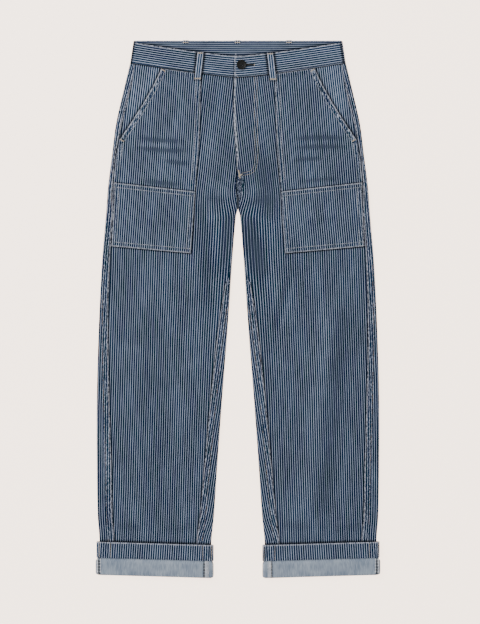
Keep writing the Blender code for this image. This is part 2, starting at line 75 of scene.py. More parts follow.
def ease(value: Array | float, start: float, end: float) -> Array:
    """Rise from 0 at start to 1 at end, level at both."""
    t = np.clip((np.asarray(value, float) - start) / (end - start), 0.0, 1.0)
    return t * t * (3 - 2 * t)


def mix(a: Array | float, b: Array | float, t: Array | float) -> Array | float:
    """The value a fraction t of the way from a to b."""
    return a + (b - a) * t


def spaced(stops: tuple[tuple[float, float], ...]) -> Array:
    """Values through a list of stops, each with the step used until the next.

    Args:
        stops: (value, step) pairs; the last step isn't used.

    Returns:
        The values, from the first stop to the last.
    """
    runs = []
    for (start, step), (end, _) in zip(stops, stops[1:]):
        count = max(round(abs(end - start) / step), 1)
        runs.append(np.linspace(start, end, count, endpoint=False))
    return np.append(np.concatenate(runs), stops[-1][0])


def offset(line: Array, distance: float) -> Array:
    """A plan polyline moved sideways.

    Args:
        line: points x, y in order.
        distance: how far to the right of the way it runs.

    Returns:
        The moved points.
    """
    run = np.gradient(line, axis=0)
    run /= np.linalg.norm(run, axis=1, keepdims=True)
    return line + distance * np.stack([run[:, 1], -run[:, 0]], axis=1)


def distance_to(x: Array, y: Array, line: Array) -> Array:
    """Least distance in plan from each point to a polyline, as an array shaped like x."""
    points = np.stack([x, y], axis=-1)[..., None, :]
    start, along = line[:-1], np.diff(line, axis=0)
    t = ((points - start) * along).sum(-1) / (along**2).sum(-1)
    nearest = start + np.clip(t, 0, 1)[..., None] * along
    return np.linalg.norm(points - nearest, axis=-1).min(-1)


class Table:
    """Rows of named columns, read at any y on smooth curves through them."""

    def __init__(self, columns: tuple[str, ...], rows: tuple[tuple[float, ...], ...]) -> None:
        """Keep the columns' names and values; rows run down from the waist."""
        self.columns = columns
        self.values = np.array(rows, float)

    def column(self, name: str) -> Array:
        """All the values of a column."""
        return self.values[:, self.columns.index(name)]

    def read(self, name: str, at: Array | float) -> Array:
        """A column's value at each y.

        Args:
            name: the column.
            at: the places y.

        Returns:
            The values, on a smooth curve through the rows.
        """
        at = np.asarray(at, float)
        y, v = self.values[:, 0], self.column(name)
        last = len(y) - 1
        k = np.clip(np.searchsorted(-y, -at) - 1, 0, last - 1)
        before, after = np.maximum(k - 1, 0), np.minimum(k + 2, last)
        span = y[k + 1] - y[k]
        start = (v[k + 1] - v[before]) / (y[k + 1] - y[before])
        end = (v[after] - v[k]) / (y[after] - y[k])
        t = np.clip((at - y[k]) / span, 0.0, 1.0)
        return (
            v[k] * (1 + 2 * t) * (1 - t) ** 2
            + start * span * t * (1 - t) ** 2
            + v[k + 1] * t * t * (3 - 2 * t)
            + end * span * t * t * (t - 1)
        )


# A leg, waist to hem: outline, and how far the back panel laps on to the front at each seam
LEG = Table(
    ("y", "outer", "inner", "side_lap", "inseam_lap"),
    (
        (0.47, 0.2045, 0.00015, 0.0085, 0.0),
        (0.4128, 0.2185, 0.00015, 0.0125, 0.0),
        (0.352, 0.2318, 0.00015, 0.011, 0.0),
        (0.2912, 0.2394, 0.00015, 0.0065, 0.0),
        (0.2304, 0.247, 0.00015, 0.009, 0.0),
        (0.1914, 0.2497, 0.0002, 0.012, 0.004),
        (0.1772, 0.2508, 0.0038, 0.013, 0.004),
        (0.086, 0.2584, 0.0114, 0.0145, 0.006),
        (-0.028, 0.2641, 0.019, 0.0175, 0.017),
        (-0.1648, 0.2679, 0.0296, 0.0235, 0.0215),
        (-0.3016, 0.2679, 0.0395, 0.0275, 0.0245),
        (-0.3928, 0.2664, 0.0456, 0.028, 0.0265),
        (-0.4422, 0.2628, 0.0505, 0.0285, 0.0275),
        (-0.51, 0.262, 0.051, 0.0285, 0.028),
    ),
)

# Thickness of a leg as it lies, back and front together
HEIGHT = Table(
    ("y", "middle", "edge"),
    (
        (0.47, 0.0044, 0.005),
        (0.4, 0.006, 0.0064),
        (0.25, 0.0062, 0.0062),
        (0.1, 0.0054, 0.006),
        (-0.2, 0.0048, 0.0056),
        (-0.4, 0.0047, 0.0054),
        (-0.51, 0.0042, 0.0046),
    ),
)

# The front's middle edges, from the waist to the crotch
FLY = Table(
    ("y", "under_x", "over_x"),
    (
        (0.47, 0.008, -0.0066),
        (0.371, 0.008, -0.008),
        (0.28, 0.007, -0.0019),
        (0.23, 0.005, -0.0019),
        (0.208, -0.0004, 0.0),
        (0.1914, -0.0004, 0.0),
    ),
)

# The fly's curved stitching: share of the way, x and y
FLY_STITCHING = (
    (0.0, 0.0362, 0.441),
    (0.3, 0.0362, 0.39),
    (0.6, 0.0372, 0.315),
    (0.72, 0.0374, 0.287),
    (0.8, 0.0345, 0.268),
    (0.88, 0.026, 0.258),
    (1.0, 0.008, 0.253),
)

FLY_TACKS = ((0.0008, 0.264, 0.004, 0.248), (0.008, 0.256, 0.0008, 0.252))

# Pockets: the outer and inner ends of lines across each patch, from its top down
POCKET_COLUMNS = ("outer_w", "outer_y", "inner_w", "inner_y")
UPPER_POCKET = (
    (0.145, 0.4566, 0.0703, 0.4462),
    (0.16, 0.425, 0.071, 0.412),
    (0.1796, 0.39, 0.0718, 0.374),
    (0.203, 0.353, 0.073, 0.335),
    (0.2262, 0.3187, 0.0741, 0.3007),
    (0.2318, 0.282, 0.0778, 0.264),
    (0.2356, 0.242, 0.0816, 0.224),
    (0.235, 0.18, 0.0865, 0.165),
    (0.2372, 0.126, 0.089, 0.112),
)
LOWER_POCKET = (
    (0.2352, 0.2401, 0.0816, 0.2228),
    (0.2357, 0.21, 0.0833, 0.194),
    (0.2362, 0.18, 0.085, 0.165),
    (0.2378, 0.15, 0.0875, 0.136),
    (0.2395, 0.1194, 0.09, 0.1061),
)
FOLD_SIDE = 0.85  # below this share of its height, a fold's side and underside are painted fully dark as shade
MOUTH_ROWS = 5  # rows of the upper patch whose outer ends are on the pocket's mouth

# Creases and folds of the front: ends, bend to one side, half width, height, and how
# much paler (or, below 0, darker) they are: wash wear, painted highlight on the ridges and painted
# shade in the troughs
CREASE_COLUMNS = ("x0", "y0", "x1", "y1", "bow", "spread", "height", "wear_and_shade")
CREASES = (
    # folds that the solids have too
    (-0.04, 0.195, -0.036, 0.04, 0.0, 0.009, 0.0011, 0.15),
    (-0.062, 0.185, -0.059, -0.02, 0.0, 0.012, -0.001, -0.18),
    (0.03, 0.15, 0.056, 0.05, 0.0, 0.011, -0.001, -0.21),
    (0.062, 0.13, 0.08, -0.05, 0.0, 0.012, 0.0009, 0.12),
    (0.205, 0.02, 0.156, -0.41, 0.0, 0.015, -0.0012, -0.21),
    (0.17, 0.03, 0.126, -0.41, 0.0, 0.016, 0.001, 0.15),
    (-0.17, 0.0, -0.15, -0.38, 0.0, 0.017, -0.0009, -0.09),
    (0.014, 0.205, 0.04, 0.04, 0.0, 0.017, 0.0, -0.31),
    (-0.014, 0.205, -0.038, 0.04, 0.0, 0.015, 0.0, -0.3),
    # short creases fanning from the crotch
    (-0.005, 0.205, -0.056, 0.242, 0.004, 0.0055, 0.0005, 0.12),
    (-0.008, 0.199, -0.07, 0.212, 0.003, 0.006, -0.0005, -0.21),
    (-0.012, 0.19, -0.066, 0.17, -0.003, 0.006, 0.0005, 0.12),
    (0.006, 0.206, 0.06, 0.238, -0.004, 0.006, 0.0005, 0.12),
    (0.008, 0.199, 0.074, 0.206, -0.003, 0.0065, -0.0006, -0.24),
    (0.014, 0.188, 0.08, 0.156, 0.003, 0.007, 0.0005, 0.09),
    (0.002, 0.26, 0.02, 0.257, 0.0, 0.0036, -0.0003, -0.54),
    # whiskers across the pockets
    (-0.2, 0.327, -0.095, 0.319, 0.003, 0.004, -0.0004, -0.6),
    (-0.2, 0.308, -0.087, 0.301, 0.003, 0.004, -0.0004, -0.6),
    (-0.21, 0.313, -0.118, 0.3165, 0.004, 0.004, 0.0003, 0.15),
    (-0.145, 0.284, -0.088, 0.276, 0.002, 0.0036, -0.0003, -0.54),
    (-0.19, 0.246, -0.1, 0.236, 0.002, 0.0045, -0.0003, -0.51),
    (0.093, 0.321, 0.212, 0.324, -0.003, 0.004, -0.0004, -0.57),
    (0.098, 0.304, 0.216, 0.306, -0.003, 0.004, -0.0003, -0.54),
    (0.098, 0.28, 0.168, 0.285, -0.002, 0.0036, -0.0003, -0.48),
    (0.11, 0.24, 0.2, 0.247, -0.002, 0.0038, -0.0003, -0.36),
    (-0.205, 0.17, -0.115, 0.162, 0.003, 0.006, -0.0003, -0.12),
    (0.115, 0.16, 0.205, 0.172, -0.003, 0.006, -0.0003, -0.12),
    # seat and thigh
    (-0.056, 0.35, -0.035, 0.26, 0.004, 0.009, 0.0004, 0.09),
    (0.062, 0.34, 0.042, 0.25, -0.004, 0.009, 0.0004, 0.09),
    (0.04, 0.32, 0.062, 0.14, 0.0, 0.019, 0.0, -0.24),
    (-0.076, 0.125, -0.062, 0.01, 0.004, 0.007, 0.0004, 0.15),
    (0.098, 0.08, 0.056, -0.07, -0.003, 0.006, -0.0006, -0.21),
    (0.112, 0.075, 0.074, -0.05, -0.004, 0.006, 0.0004, 0.12),
    # knees
    (-0.23, -0.07, -0.15, -0.095, -0.006, 0.01, 0.0004, 0.09),
    (-0.13, -0.115, -0.056, -0.09, 0.006, 0.01, 0.0004, 0.09),
    (-0.215, -0.12, -0.125, -0.15, -0.006, 0.009, -0.0004, -0.09),
    (0.15, -0.095, 0.232, -0.065, -0.006, 0.01, 0.0004, 0.09),
    (0.056, -0.09, 0.125, -0.115, 0.005, 0.01, 0.0004, 0.09),
    (0.12, -0.15, 0.215, -0.125, -0.006, 0.009, -0.0004, -0.09),
    # ankles, above the turn-ups
    (-0.24, -0.405, -0.175, -0.418, 0.003, 0.008, -0.0005, -0.18),
    (-0.15, -0.418, -0.075, -0.408, 0.003, 0.008, -0.0005, -0.18),
    (-0.2, -0.35, -0.19, -0.425, 0.003, 0.009, 0.0006, 0.09),
    (-0.11, -0.37, -0.105, -0.43, -0.003, 0.009, 0.0005, 0.09),
    (0.078, -0.408, 0.145, -0.418, -0.003, 0.008, -0.0005, -0.18),
    (0.18, -0.418, 0.242, -0.405, 0.003, 0.008, -0.0005, -0.18),
    (0.113, -0.36, 0.108, -0.428, 0.003, 0.009, 0.0006, 0.09),
    (0.202, -0.37, 0.198, -0.428, -0.003, 0.009, 0.0005, 0.09),
)
CREASE_END = 0.35  # share of a crease's length over which each end dies away
LONG_END = 0.0500  # and the most that it takes


@dataclass(frozen=True)
class Lay:
    """How the trousers lie: the outlines, layers and heights that every piece shares."""

    cloth: float = 0.0013  # one layer of denim
    gap: float = 0.0003  # air between neighbouring pieces
    waist_side_y: float = 0.5055
    waist_back_y: float = 0.5099
    waist_dip: float = 0.0257
    dip_power: float = 1.18
    dip_round: float = 0.0080
    band_height: float = 0.0390
    waist_join: float = 0.0009
    waist_half: float = 0.1984
    top_y: float = 0.4700
    crotch_y: float = 0.1914
    hem_inner_y: float = -0.5097
    hem_slope: float = 0.0290
    turn_up: float = 0.0630
    turn_up_inner: float = 0.0462
    loop_lift: float = 0.0018
    loop_lift_y: tuple[float, float] = (0.4300, 0.4530)
    turn_up_lift_run: float = 0.0300
    turn_up_lift_margin: float = 0.0020
    fold_fall: float = 0.0400
    fly_level_w: tuple[float, float] = (0.0450, 0.0120)
    fly_level_y: tuple[float, float] = (0.1880, 0.2060)
    hip_y: float = 0.2500
    hem_run_y: tuple[float, float] = (-0.3800, -0.4500)

    @property
    def layer(self) -> float:
        """How far a sewn-on layer stands above the layer below it."""
        return self.cloth + self.gap

    def leg(self, name: str, y: Array | float) -> Array:
        """A column of the leg table, with half a gap left where the two legs meet."""
        return np.maximum(LEG.read(name, y), self.gap / 2)

    def hem_y(self, w: Array | float) -> Array | float:
        """The bottom fold of a turn-up, which rises towards the outside of the leg."""
        return self.hem_inner_y + self.hem_slope * (w - self.turn_up_inner)

    def lift(self, w: Array, y: Array) -> Array:
        """Height of the back panel's underside: 0, except over belt loops and turn-ups."""
        top = self.hem_y(w) + self.turn_up + self.turn_up_lift_margin
        over_turn_up = ease(y - top, self.turn_up_lift_run, 0.0)
        return self.loop_lift * ease(y, *self.loop_lift_y) + 2 * self.layer * over_turn_up

    def creases(self, x: Array, y: Array, what: str) -> Array:
        """Sum of the creases' height, or of their wear with painted highlight and shade, at points
        of the front.

        Args:
            x: the points' x.
            y: and their y.
            what: "height", or the column of wear with painted highlight and shade.

        Returns:
            The sum at each point.
        """
        x, y = np.broadcast_arrays(np.asarray(x, float), np.asarray(y, float))
        total = np.zeros(x.shape)
        for row in CREASES:
            c = dict(zip(CREASE_COLUMNS, row))
            dx, dy = c["x1"] - c["x0"], c["y1"] - c["y0"]
            length = math.hypot(dx, dy)
            along = ((x - c["x0"]) * dx + (y - c["y0"]) * dy) / length**2
            t = np.clip(along, 0.0, 1.0)
            across = ((x - c["x0"]) * dy - (y - c["y0"]) * dx) / length
            across = across - 4 * c["bow"] * t * (1 - t)
            run = min(CREASE_END, LONG_END / length)
            ends = ease(along, 0.0, run) * ease(along, 1.0, 1.0 - run)
            total = total + c[what] * ends * np.exp(-((across / c["spread"]) ** 2))
        return total

    def front(self, side: int, w: Array, y: Array) -> Array:
        """Top of the front panel: low in the middle of a leg, lifted along its folded edges.

        Args:
            side: which leg.
            w: distances from the centre line.
            y: and places down the leg.

        Returns:
            The height at each place.
        """
        w = np.maximum(w, 0.0)
        outside = np.exp(-((np.maximum(self.leg("outer", y) - w, 0.0) / self.fold_fall) ** 2))
        inside = np.exp(-((np.maximum(w - self.leg("inner", y), 0.0) / self.fold_fall) ** 2))
        inside = inside * ease(y, self.crotch_y + 0.02, self.crotch_y)
        near = np.maximum(outside, inside)
        crown = mix(HEIGHT.read("middle", y), HEIGHT.read("edge", y), near)
        return self.lift(w, y) + crown + self.creases(side * w, y, "height") * (1 - near)

    def lapped(self, side: int, w: Array, y: Array) -> Array:
        """The lapped front lies one layer up near the middle, and comes down away from it."""
        if side < 0:
            return np.zeros(np.broadcast(w, y).shape)
        return self.layer * ease(w, *self.fly_level_w) * ease(y, *self.fly_level_y)

    def on_front(self, x: Array, y: Array, layers: float) -> Array:
        """Points x, y, z on what is sewn so many layers above the front.

        Args:
            x: the points' x.
            y: and their y.
            layers: how many layers.

        Returns:
            The points.
        """
        x, y = np.broadcast_arrays(np.asarray(x, float), np.asarray(y, float))
        z = np.where(x < 0, self.front(-1, -x, y), self.front(1, x, y) + self.lapped(1, x, y))
        return np.stack([x, y, z + layers * self.layer], axis=-1)

    def dip(self, x: Array | float) -> Array:
        """How far the front waistband's edge has dropped below the side folds."""
        out = np.hypot(x, self.dip_round) - self.dip_round
        whole = math.hypot(self.waist_half, self.dip_round) - self.dip_round
        return self.waist_dip * (1 - np.minimum(out / whole, 1.0) ** self.dip_power)

    def band_foot(self, x: Array | float) -> Array:
        """The y of the front waistband's bottom edge."""
        return self.waist_side_y - self.dip(x) - self.band_height

    def waist_shift(self, w: Array, y: Array) -> Array:
        """Lower a front row's points to follow the waistband's dip, less down the hips."""
        start = self.waist_side_y - self.band_height - self.waist_join
        return y - (self.top_y - start + self.dip(w)) * ease(y, self.hip_y, self.top_y)

    def hem_shift(self, w: Array, y: Array) -> Array:
        """Raise the last rows of a panel to follow the slope of the hem."""
        return y + self.hem_slope * (w - self.turn_up_inner) * ease(y, *self.hem_run_y)

    def fold_radius(self, side: int, y: Array, edge: str, rise: Array | float = 1.0) -> Array:
        """Half the height of a folded edge, with its seam's extra layer where it has one."""
        w = self.leg(edge, y)
        return (self.front(side, w, y) + self.layer * rise - self.lift(w, y)) / 2


LAY = Lay()


# ---------------------------------------------------------------- materials


Socket = bpy.types.NodeSocket
Tree = bpy.types.NodeTree
Adder = Callable[..., Socket]  # add_node for one material
DYE_AND_SHADE_REACH = (0.0006, 0.0036)  # where a groove's darkening, unwashed dye and painted shade, is full, and where it ends


def linear(hex_colour: str) -> tuple[float, float, float, float]:
    """An sRGB hex colour as linear red, green, blue and alpha."""
    values = [int(hex_colour[k : k + 2], 16) / 255 for k in (1, 3, 5)]
    rgb = [v / 12.92 if v <= 0.04045 else ((v + 0.055) / 1.055) ** 2.4 for v in values]
    return (*rgb, 1.0)


def add_node(
    tree: Tree, kind: str, inputs: dict | None = None, out: str | int = 0, **settings: object
) -> Socket:
    """Add a node, set its options, and fill its inputs or link them.

    Args:
        tree: the material's node tree.
        kind: the node's type, after the "ShaderNode" that they all start with.
        inputs: a value, or another node's output, for each named or numbered input.
        out: the name or number of the output that is wanted.
        settings: the node's own properties.

    Returns:
        That output.
    """
    node = tree.nodes.new("ShaderNode" + kind)
    for name, value in settings.items():
        setattr(node, name, value)
    for key, value in (inputs or {}).items():
        if isinstance(value, Socket):
            tree.links.new(value, node.inputs[key])
        else:
            node.inputs[key].default_value = value
    return node.outputs[out]


def blank_material(name: str) -> tuple[bpy.types.Material, Tree, bpy.types.ShaderNode]:
    """A new material, its node tree and its shader."""
    material = bpy.data.materials.new(name)
    material.use_nodes = True
    tree = material.node_tree
    return material, tree, tree.nodes["Principled BSDF"]


def yarn_noise(add: Adder, uv: Socket, scale: tuple[float, float], detail: float) -> Socket:
    """Noise on the cloth, with its own scale across the stripes and along them."""
    place = add("Mapping", {"Vector": uv, "Scale": (*scale, 1.0)})
    return add("TexNoise", {"Vector": place, "Scale": 1.0, "Detail": detail}, noise_dimensions="2D")


def darken_dye_and_shade(add: Adder, cloth: Socket, depth: float) -> Socket:
    """Darken the cloth beside whatever is sewn on top, and on the sides of folds: unwashed dye, and
    painted shade.

    Args:
        add: adds a node to the material.
        cloth: its colour so far.
        depth: how much darker the bottom of a groove is.

    Returns:
        The darkened colour.
    """
    away = add("Attribute", out="Fac", attribute_name=GROOVE_DYE_AND_SHADE)
    near, far = DYE_AND_SHADE_REACH
    groove_dye_and_shade = add(
        "MapRange",
        {"Value": away, "From Min": near, "From Max": far, "To Min": 1 - depth, "To Max": 1.0},
        interpolation_type="SMOOTHSTEP",
    )
    return add(
        "Mix", {"Factor": 1.0, 6: cloth, 7: groove_dye_and_shade}, out=2,
        data_type="RGBA", blend_type="MULTIPLY",
    )


@dataclass(frozen=True)
class StripedDenim:
    """Indigo and white warp stripes in a washed cotton twill, right side out.

    The eye gets narrow pale stripes on navy, faded unevenly, paler and darker along the creases
    with wash wear and painted highlight and shade, pale along every sewn edge and dark
    beside it with unwashed dye and painted shade, matt with a little fuzz.
    """

    name: str = "cotton_denim_striped_indigo"
    pitch: float = 0.00421  # real is about 4.0 mm; drawn a little coarser so that it shows
    pale_share: float = 0.195
    soft_edge: float = 0.04  # of half a pitch
    spread: float = 0.10  # of a pitch, at full wear
    drift: float = 0.0014
    navy: str = "#0A2046"
    teal_navy: str = "#062C3C"
    faded: str = "#224260"  # what fading brings the navy towards
    white: str = "#C6D0E8"
    worn: str = "#CDD1E0"
    # the flat blue of a deep crease: kept dye and painted shade
    creased: str = "#4A5B76"
    pucker: float = 0.0050  # how far the stitches' pull can move a stripe
    dye_and_shade_depth: float = 0.80
    twill: float = 0.0012  # real twill is 0.6 mm; drawn at twice that so that it shows
    twill_slant: float = 63.0

    def make(self) -> bpy.types.Material:
        """Build the material, read from the cloth's own UV map and attributes."""
        material, tree, shader = blank_material(self.name)
        add = partial(add_node, tree)
        uv = add("UVMap", uv_map=UV_MAP)
        # wear with painted crease highlight and shade, puckering, and distance from a sewn edge
        worn_and_shaded, busy, away = (
            add("Attribute", out="Fac", attribute_name=name)
            for name in (WEAR_AND_SHADE, BEADS, EDGE)
        )
        beads = yarn_noise(add, uv, (500.0, 170.0), 1.0)
        swing = add("Math", {0: beads, 1: -0.5}, operation="ADD")
        stripe = self.stripe(add, uv, swing, busy, worn_and_shaded)
        swing = add("Math", {0: swing, 1: busy}, operation="MULTIPLY")
        cloth = self.dye(add, uv, stripe, swing, worn_and_shaded)
        # wear: the pale crown of a sewn edge
        crown = add(
            "MapRange", {"Value": away, "From Min": 0.0022, "From Max": 0.0003},
            interpolation_type="SMOOTHSTEP",
        )
        wear = add(
            "MapRange",
            {"Value": beads, "From Min": 0.40, "From Max": 0.62, "To Min": 0.10, "To Max": 0.95},
        )
        wear = add("Math", {0: crown, 1: wear}, operation="MULTIPLY")
        cloth = add(
            "Mix", {"Factor": wear, 6: cloth, 7: linear(self.worn)}, out=2,
            data_type="RGBA",
        )
        # painted shade on fold sides and beside what is sewn on top, with unwashed dye
        cloth = darken_dye_and_shade(add, cloth, self.dye_and_shade_depth)
        tree.links.new(cloth, shader.inputs["Base Color"])
        tree.links.new(self.relief(add, uv, away), shader.inputs["Normal"])
        shader.inputs["Roughness"].default_value = 0.88
        shader.inputs["Specular IOR Level"].default_value = 0.02
        return material

    def stripe(self, add: Adder, uv: Socket, swing: Socket, busy: Socket, worn_and_shaded: Socket) -> Socket:
        """Weave the stripes.

        Args:
            add: adds a node to the material.
            uv: places across the stripes and along them.
            swing: which way the puckers move a stripe.
            busy: how puckered the cloth is.
            worn_and_shaded: how worn it is, with painted highlight on crease ridges; below 0, how
                deeply creased, with painted shade.

        Returns:
            1 on the pale stripes and 0 between them.
        """
        # slow drift of the yarns, so that no stripe is ruler straight
        drift = add("TexNoise", {"Vector": uv, "Scale": 9.0, "Detail": 1.0}, noise_dimensions="2D")
        drift = add("Math", {0: drift, 1: -0.5}, operation="ADD")
        drift = add("Math", {0: drift, 1: self.drift}, operation="MULTIPLY")
        across = add("SeparateXYZ", {0: uv}, out="X")
        across = add("Math", {0: across, 1: drift}, operation="ADD")
        # puckers: the stitches' pull breaks the stripes of a seam into beads
        pull = add("Math", {0: busy, 1: 2 * self.pucker}, operation="MULTIPLY")
        across = add("Math", {0: swing, 1: pull, 2: across}, operation="MULTIPLY_ADD")
        phase = add("Math", {0: across, 1: 1 / self.pitch}, operation="MULTIPLY")
        wave = add("Math", {0: phase, 1: 0.5}, operation="PINGPONG")
        # rubbing and painted crease highlight widen the pale yarns' share; painted crease shade
        # narrows it
        wave = add("Math", {0: worn_and_shaded, 1: self.spread, 2: wave}, operation="MULTIPLY_ADD")
        edge, half = 0.5 * (1 - self.pale_share), 0.5 * self.soft_edge
        stripe = add(
            "MapRange", {"Value": wave, "From Min": edge - half, "From Max": edge + half},
            interpolation_type="SMOOTHSTEP",
        )
        # rubbed folds, and creases painted with shade, lose their stripes before their colour
        blurred = add("Math", {0: worn_and_shaded, 1: -0.1}, operation="ADD")
        blurred = add("Math", {0: blurred}, operation="ABSOLUTE")
        blurred = add("MapRange", {"Value": blurred, "From Min": 0.2})
        return add(
            "Mix", {"Factor": blurred, 2: stripe, 3: 0.9 * self.pale_share},
            data_type="FLOAT",
        )

    def dye(self, add: Adder, uv: Socket, stripe: Socket, swing: Socket, worn_and_shaded: Socket) -> Socket:
        """Colour the stripes.

        Args:
            add: adds a node to the material.
            uv: places across the stripes and along them.
            stripe: 1 on the pale stripes and 0 between them.
            swing: the puckers' light and shade.
            worn_and_shaded: how worn the cloth is, with painted highlight on crease ridges; below
                0, how deeply creased, with painted shade.

        Returns:
            The colour: uneven by yarn, faded in clouds, and dark in the creases with kept dye and
                painted shade.
        """
        # fading: large soft clouds, and the creases' wear with painted highlight and shade
        cloud = add(
            "MapRange",
            {
                "Value": yarn_noise(add, uv, (34.0, 9.0), 4.0),
                "From Min": 0.3, "From Max": 0.7, "To Min": -0.23, "To Max": 0.23,
            },
        )
        wear_and_shade = add("Math", {0: cloud, 1: worn_and_shaded}, operation="ADD")
        fade_up = add("MapRange", {"Value": wear_and_shade, "From Min": -0.1, "From Max": 1.0})
        # every few yarns took the dye a little differently
        lots = yarn_noise(add, uv, (330.0, 14.0), 1.0)
        lots = add("MapRange", {"Value": lots, "From Min": 0.35, "From Max": 0.65})
        cloth = linear(self.navy)
        for factor, colour in ((lots, self.teal_navy), (fade_up, self.faded), (stripe, self.white)):
            cloth = add(
                "Mix", {"Factor": factor, 6: cloth, 7: linear(colour)}, out=2,
                data_type="RGBA",
            )
        # slubs: uneven yarns, drawn out along the stripes
        slub = yarn_noise(add, uv, (700.0, 30.0), 3.0)
        shade = add(
            "MapRange",
            {"Value": slub, "From Min": 0.25, "From Max": 0.75, "To Min": 0.76, "To Max": 1.24},
        )
        shade = add("Math", {0: swing, 1: 2.0, 2: shade}, operation="MULTIPLY_ADD")
        # wear and painted crease highlight lighten it; painted crease shade darkens it
        lighter = add(
            "MapRange",
            {"Value": wear_and_shade, "From Min": -1.0, "From Max": 1.0, "To Min": 0.60, "To Max": 1.40},
        )
        shade = add("Math", {0: shade, 1: lighter}, operation="MULTIPLY")
        cloth = add(
            "Mix", {"Factor": 1.0, 6: cloth, 7: shade}, out=2,
            data_type="RGBA", blend_type="MULTIPLY",
        )
        # a deep crease is painted a flat blue, for its kept dye and its painted shade, with its
        # stripes run together
        deep = add(
            "MapRange",
            {"Value": worn_and_shaded, "From Min": -0.3, "From Max": -1.0, "To Max": 0.55},
        )
        return add(
            "Mix", {"Factor": deep, 6: cloth, 7: linear(self.creased)}, out=2,
            data_type="RGBA",
        )

    def relief(self, add: Adder, uv: Socket, away: Socket) -> Socket:
        """Raise the twill's slanting ribs, crumpling, and puckers close to a sewn edge.

        Args:
            add: adds a node to the material.
            uv: places across the stripes and along them.
            away: distance from a sewn edge.

        Returns:
            The normal.
        """
        slant = (0.0, 0.0, math.radians(self.twill_slant))
        ribs = add(
            "TexWave",
            {
                "Vector": add("Mapping", {"Vector": uv, "Rotation": slant}),
                "Scale": 1 / self.twill / math.pi, "Distortion": 0.6,
            },
            out="Fac",
        )
        crumple = add(
            "TexNoise", {"Vector": uv, "Scale": 130.0, "Detail": 3.0},
            noise_dimensions="2D",
        )
        pucker = add(
            "MapRange",
            {"Value": away, "From Min": 0.0110, "From Max": 0.0010, "To Min": 0.35, "To Max": 1.6},
            interpolation_type="SMOOTHSTEP",
        )
        crumple = add("Math", {0: crumple, 1: pucker}, operation="MULTIPLY")
        fine = add("Bump", {"Height": ribs, "Strength": 0.15, "Distance": 0.00025})
        return add(
            "Bump",
            {"Height": crumple, "Strength": 0.55, "Distance": 0.0016, "Normal": fine},
        )


@dataclass(frozen=True)
class DenimWrongSide:
    """The same twill from behind, where the undyed weft covers nearly all the indigo.

    The eye gets a pale grey blue with a faint upright grain and soft clouds.
    """

    name: str = "cotton_denim_wrong_side"
    pale: str = "#B7C4D3"
    dark: str = "#8796AB"
    dye_and_shade_depth: float = 0.60

    def make(self) -> bpy.types.Material:
        """Build the material, read from the cloth's own UV map and attributes."""
        material, tree, shader = blank_material(self.name)
        add = partial(add_node, tree)
        uv = add("UVMap", uv_map=UV_MAP)
        grain = yarn_noise(add, uv, (620.0, 60.0), 3.0)
        cloud = add("TexNoise", {"Vector": uv, "Scale": 45.0, "Detail": 3.0}, noise_dimensions="2D")
        both = add("Mix", {"Factor": 0.4, 2: grain, 3: cloud}, data_type="FLOAT")
        factor = add("MapRange", {"Value": both, "From Min": 0.36, "From Max": 0.64})
        cloth = add(
            "Mix", {"Factor": factor, 6: linear(self.dark), 7: linear(self.pale)}, out=2,
            data_type="RGBA",
        )
        # painted shade on fold sides and beside what is sewn on top, with unwashed dye
        cloth = darken_dye_and_shade(add, cloth, self.dye_and_shade_depth)
        bump = add("Bump", {"Height": both, "Strength": 0.45, "Distance": 0.0010})
        tree.links.new(cloth, shader.inputs["Base Color"])
        tree.links.new(bump, shader.inputs["Normal"])
        shader.inputs["Roughness"].default_value = 0.92
        shader.inputs["Specular IOR Level"].default_value = 0.05
        shader.inputs["Sheen Weight"].default_value = 0.05
        return material


@dataclass(frozen=True)
class CottonThread:
    """Twisted cotton-wrapped topstitching thread, slightly greyed by the wash."""

    name: str
    colour: str
    worn: str

    def make(self) -> bpy.types.Material:
        """Build the material; the colour wanders from stitch to stitch."""
        material, tree, shader = blank_material(self.name)
        add = partial(add_node, tree)
        place = add("TexCoord", out="Object")
        noise = add("TexNoise", {"Vector": place, "Scale": 160.0, "Detail": 2.0})
        factor = add("MapRange", {"Value": noise, "From Min": 0.35, "From Max": 0.65})
        colour = add(
            "Mix", {"Factor": factor, 6: linear(self.colour), 7: linear(self.worn)}, out=2,
            data_type="RGBA",
        )
        tree.links.new(colour, shader.inputs["Base Color"])
        shader.inputs["Roughness"].default_value = 0.7
        shader.inputs["Sheen Weight"].default_value = 0.2
        return material


@dataclass(frozen=True)
class MouldedResin:
    """Turned polyester resin: near black, satin, with the faintest smoky cloud."""

    name: str = "polyester_resin_black_turned"
    colour: str = "#0B0B0B"
    cloud: str = "#161514"

    def make(self) -> bpy.types.Material:
        """Build the material on object coordinates."""
        material, tree, shader = blank_material(self.name)
        add = partial(add_node, tree)
        place = add("TexCoord", out="Object")
        noise = add("TexNoise", {"Vector": place, "Scale": 260.0, "Detail": 4.0})
        colour = add(
            "Mix", {"Factor": noise, 6: linear(self.colour), 7: linear(self.cloud)}, out=2,
            data_type="RGBA",
        )
        rough = add("MapRange", {"Value": noise, "To Min": 0.30, "To Max": 0.46})
        tree.links.new(colour, shader.inputs["Base Color"])
        tree.links.new(rough, shader.inputs["Roughness"])
        shader.inputs["Specular IOR Level"].default_value = 0.30
        return material


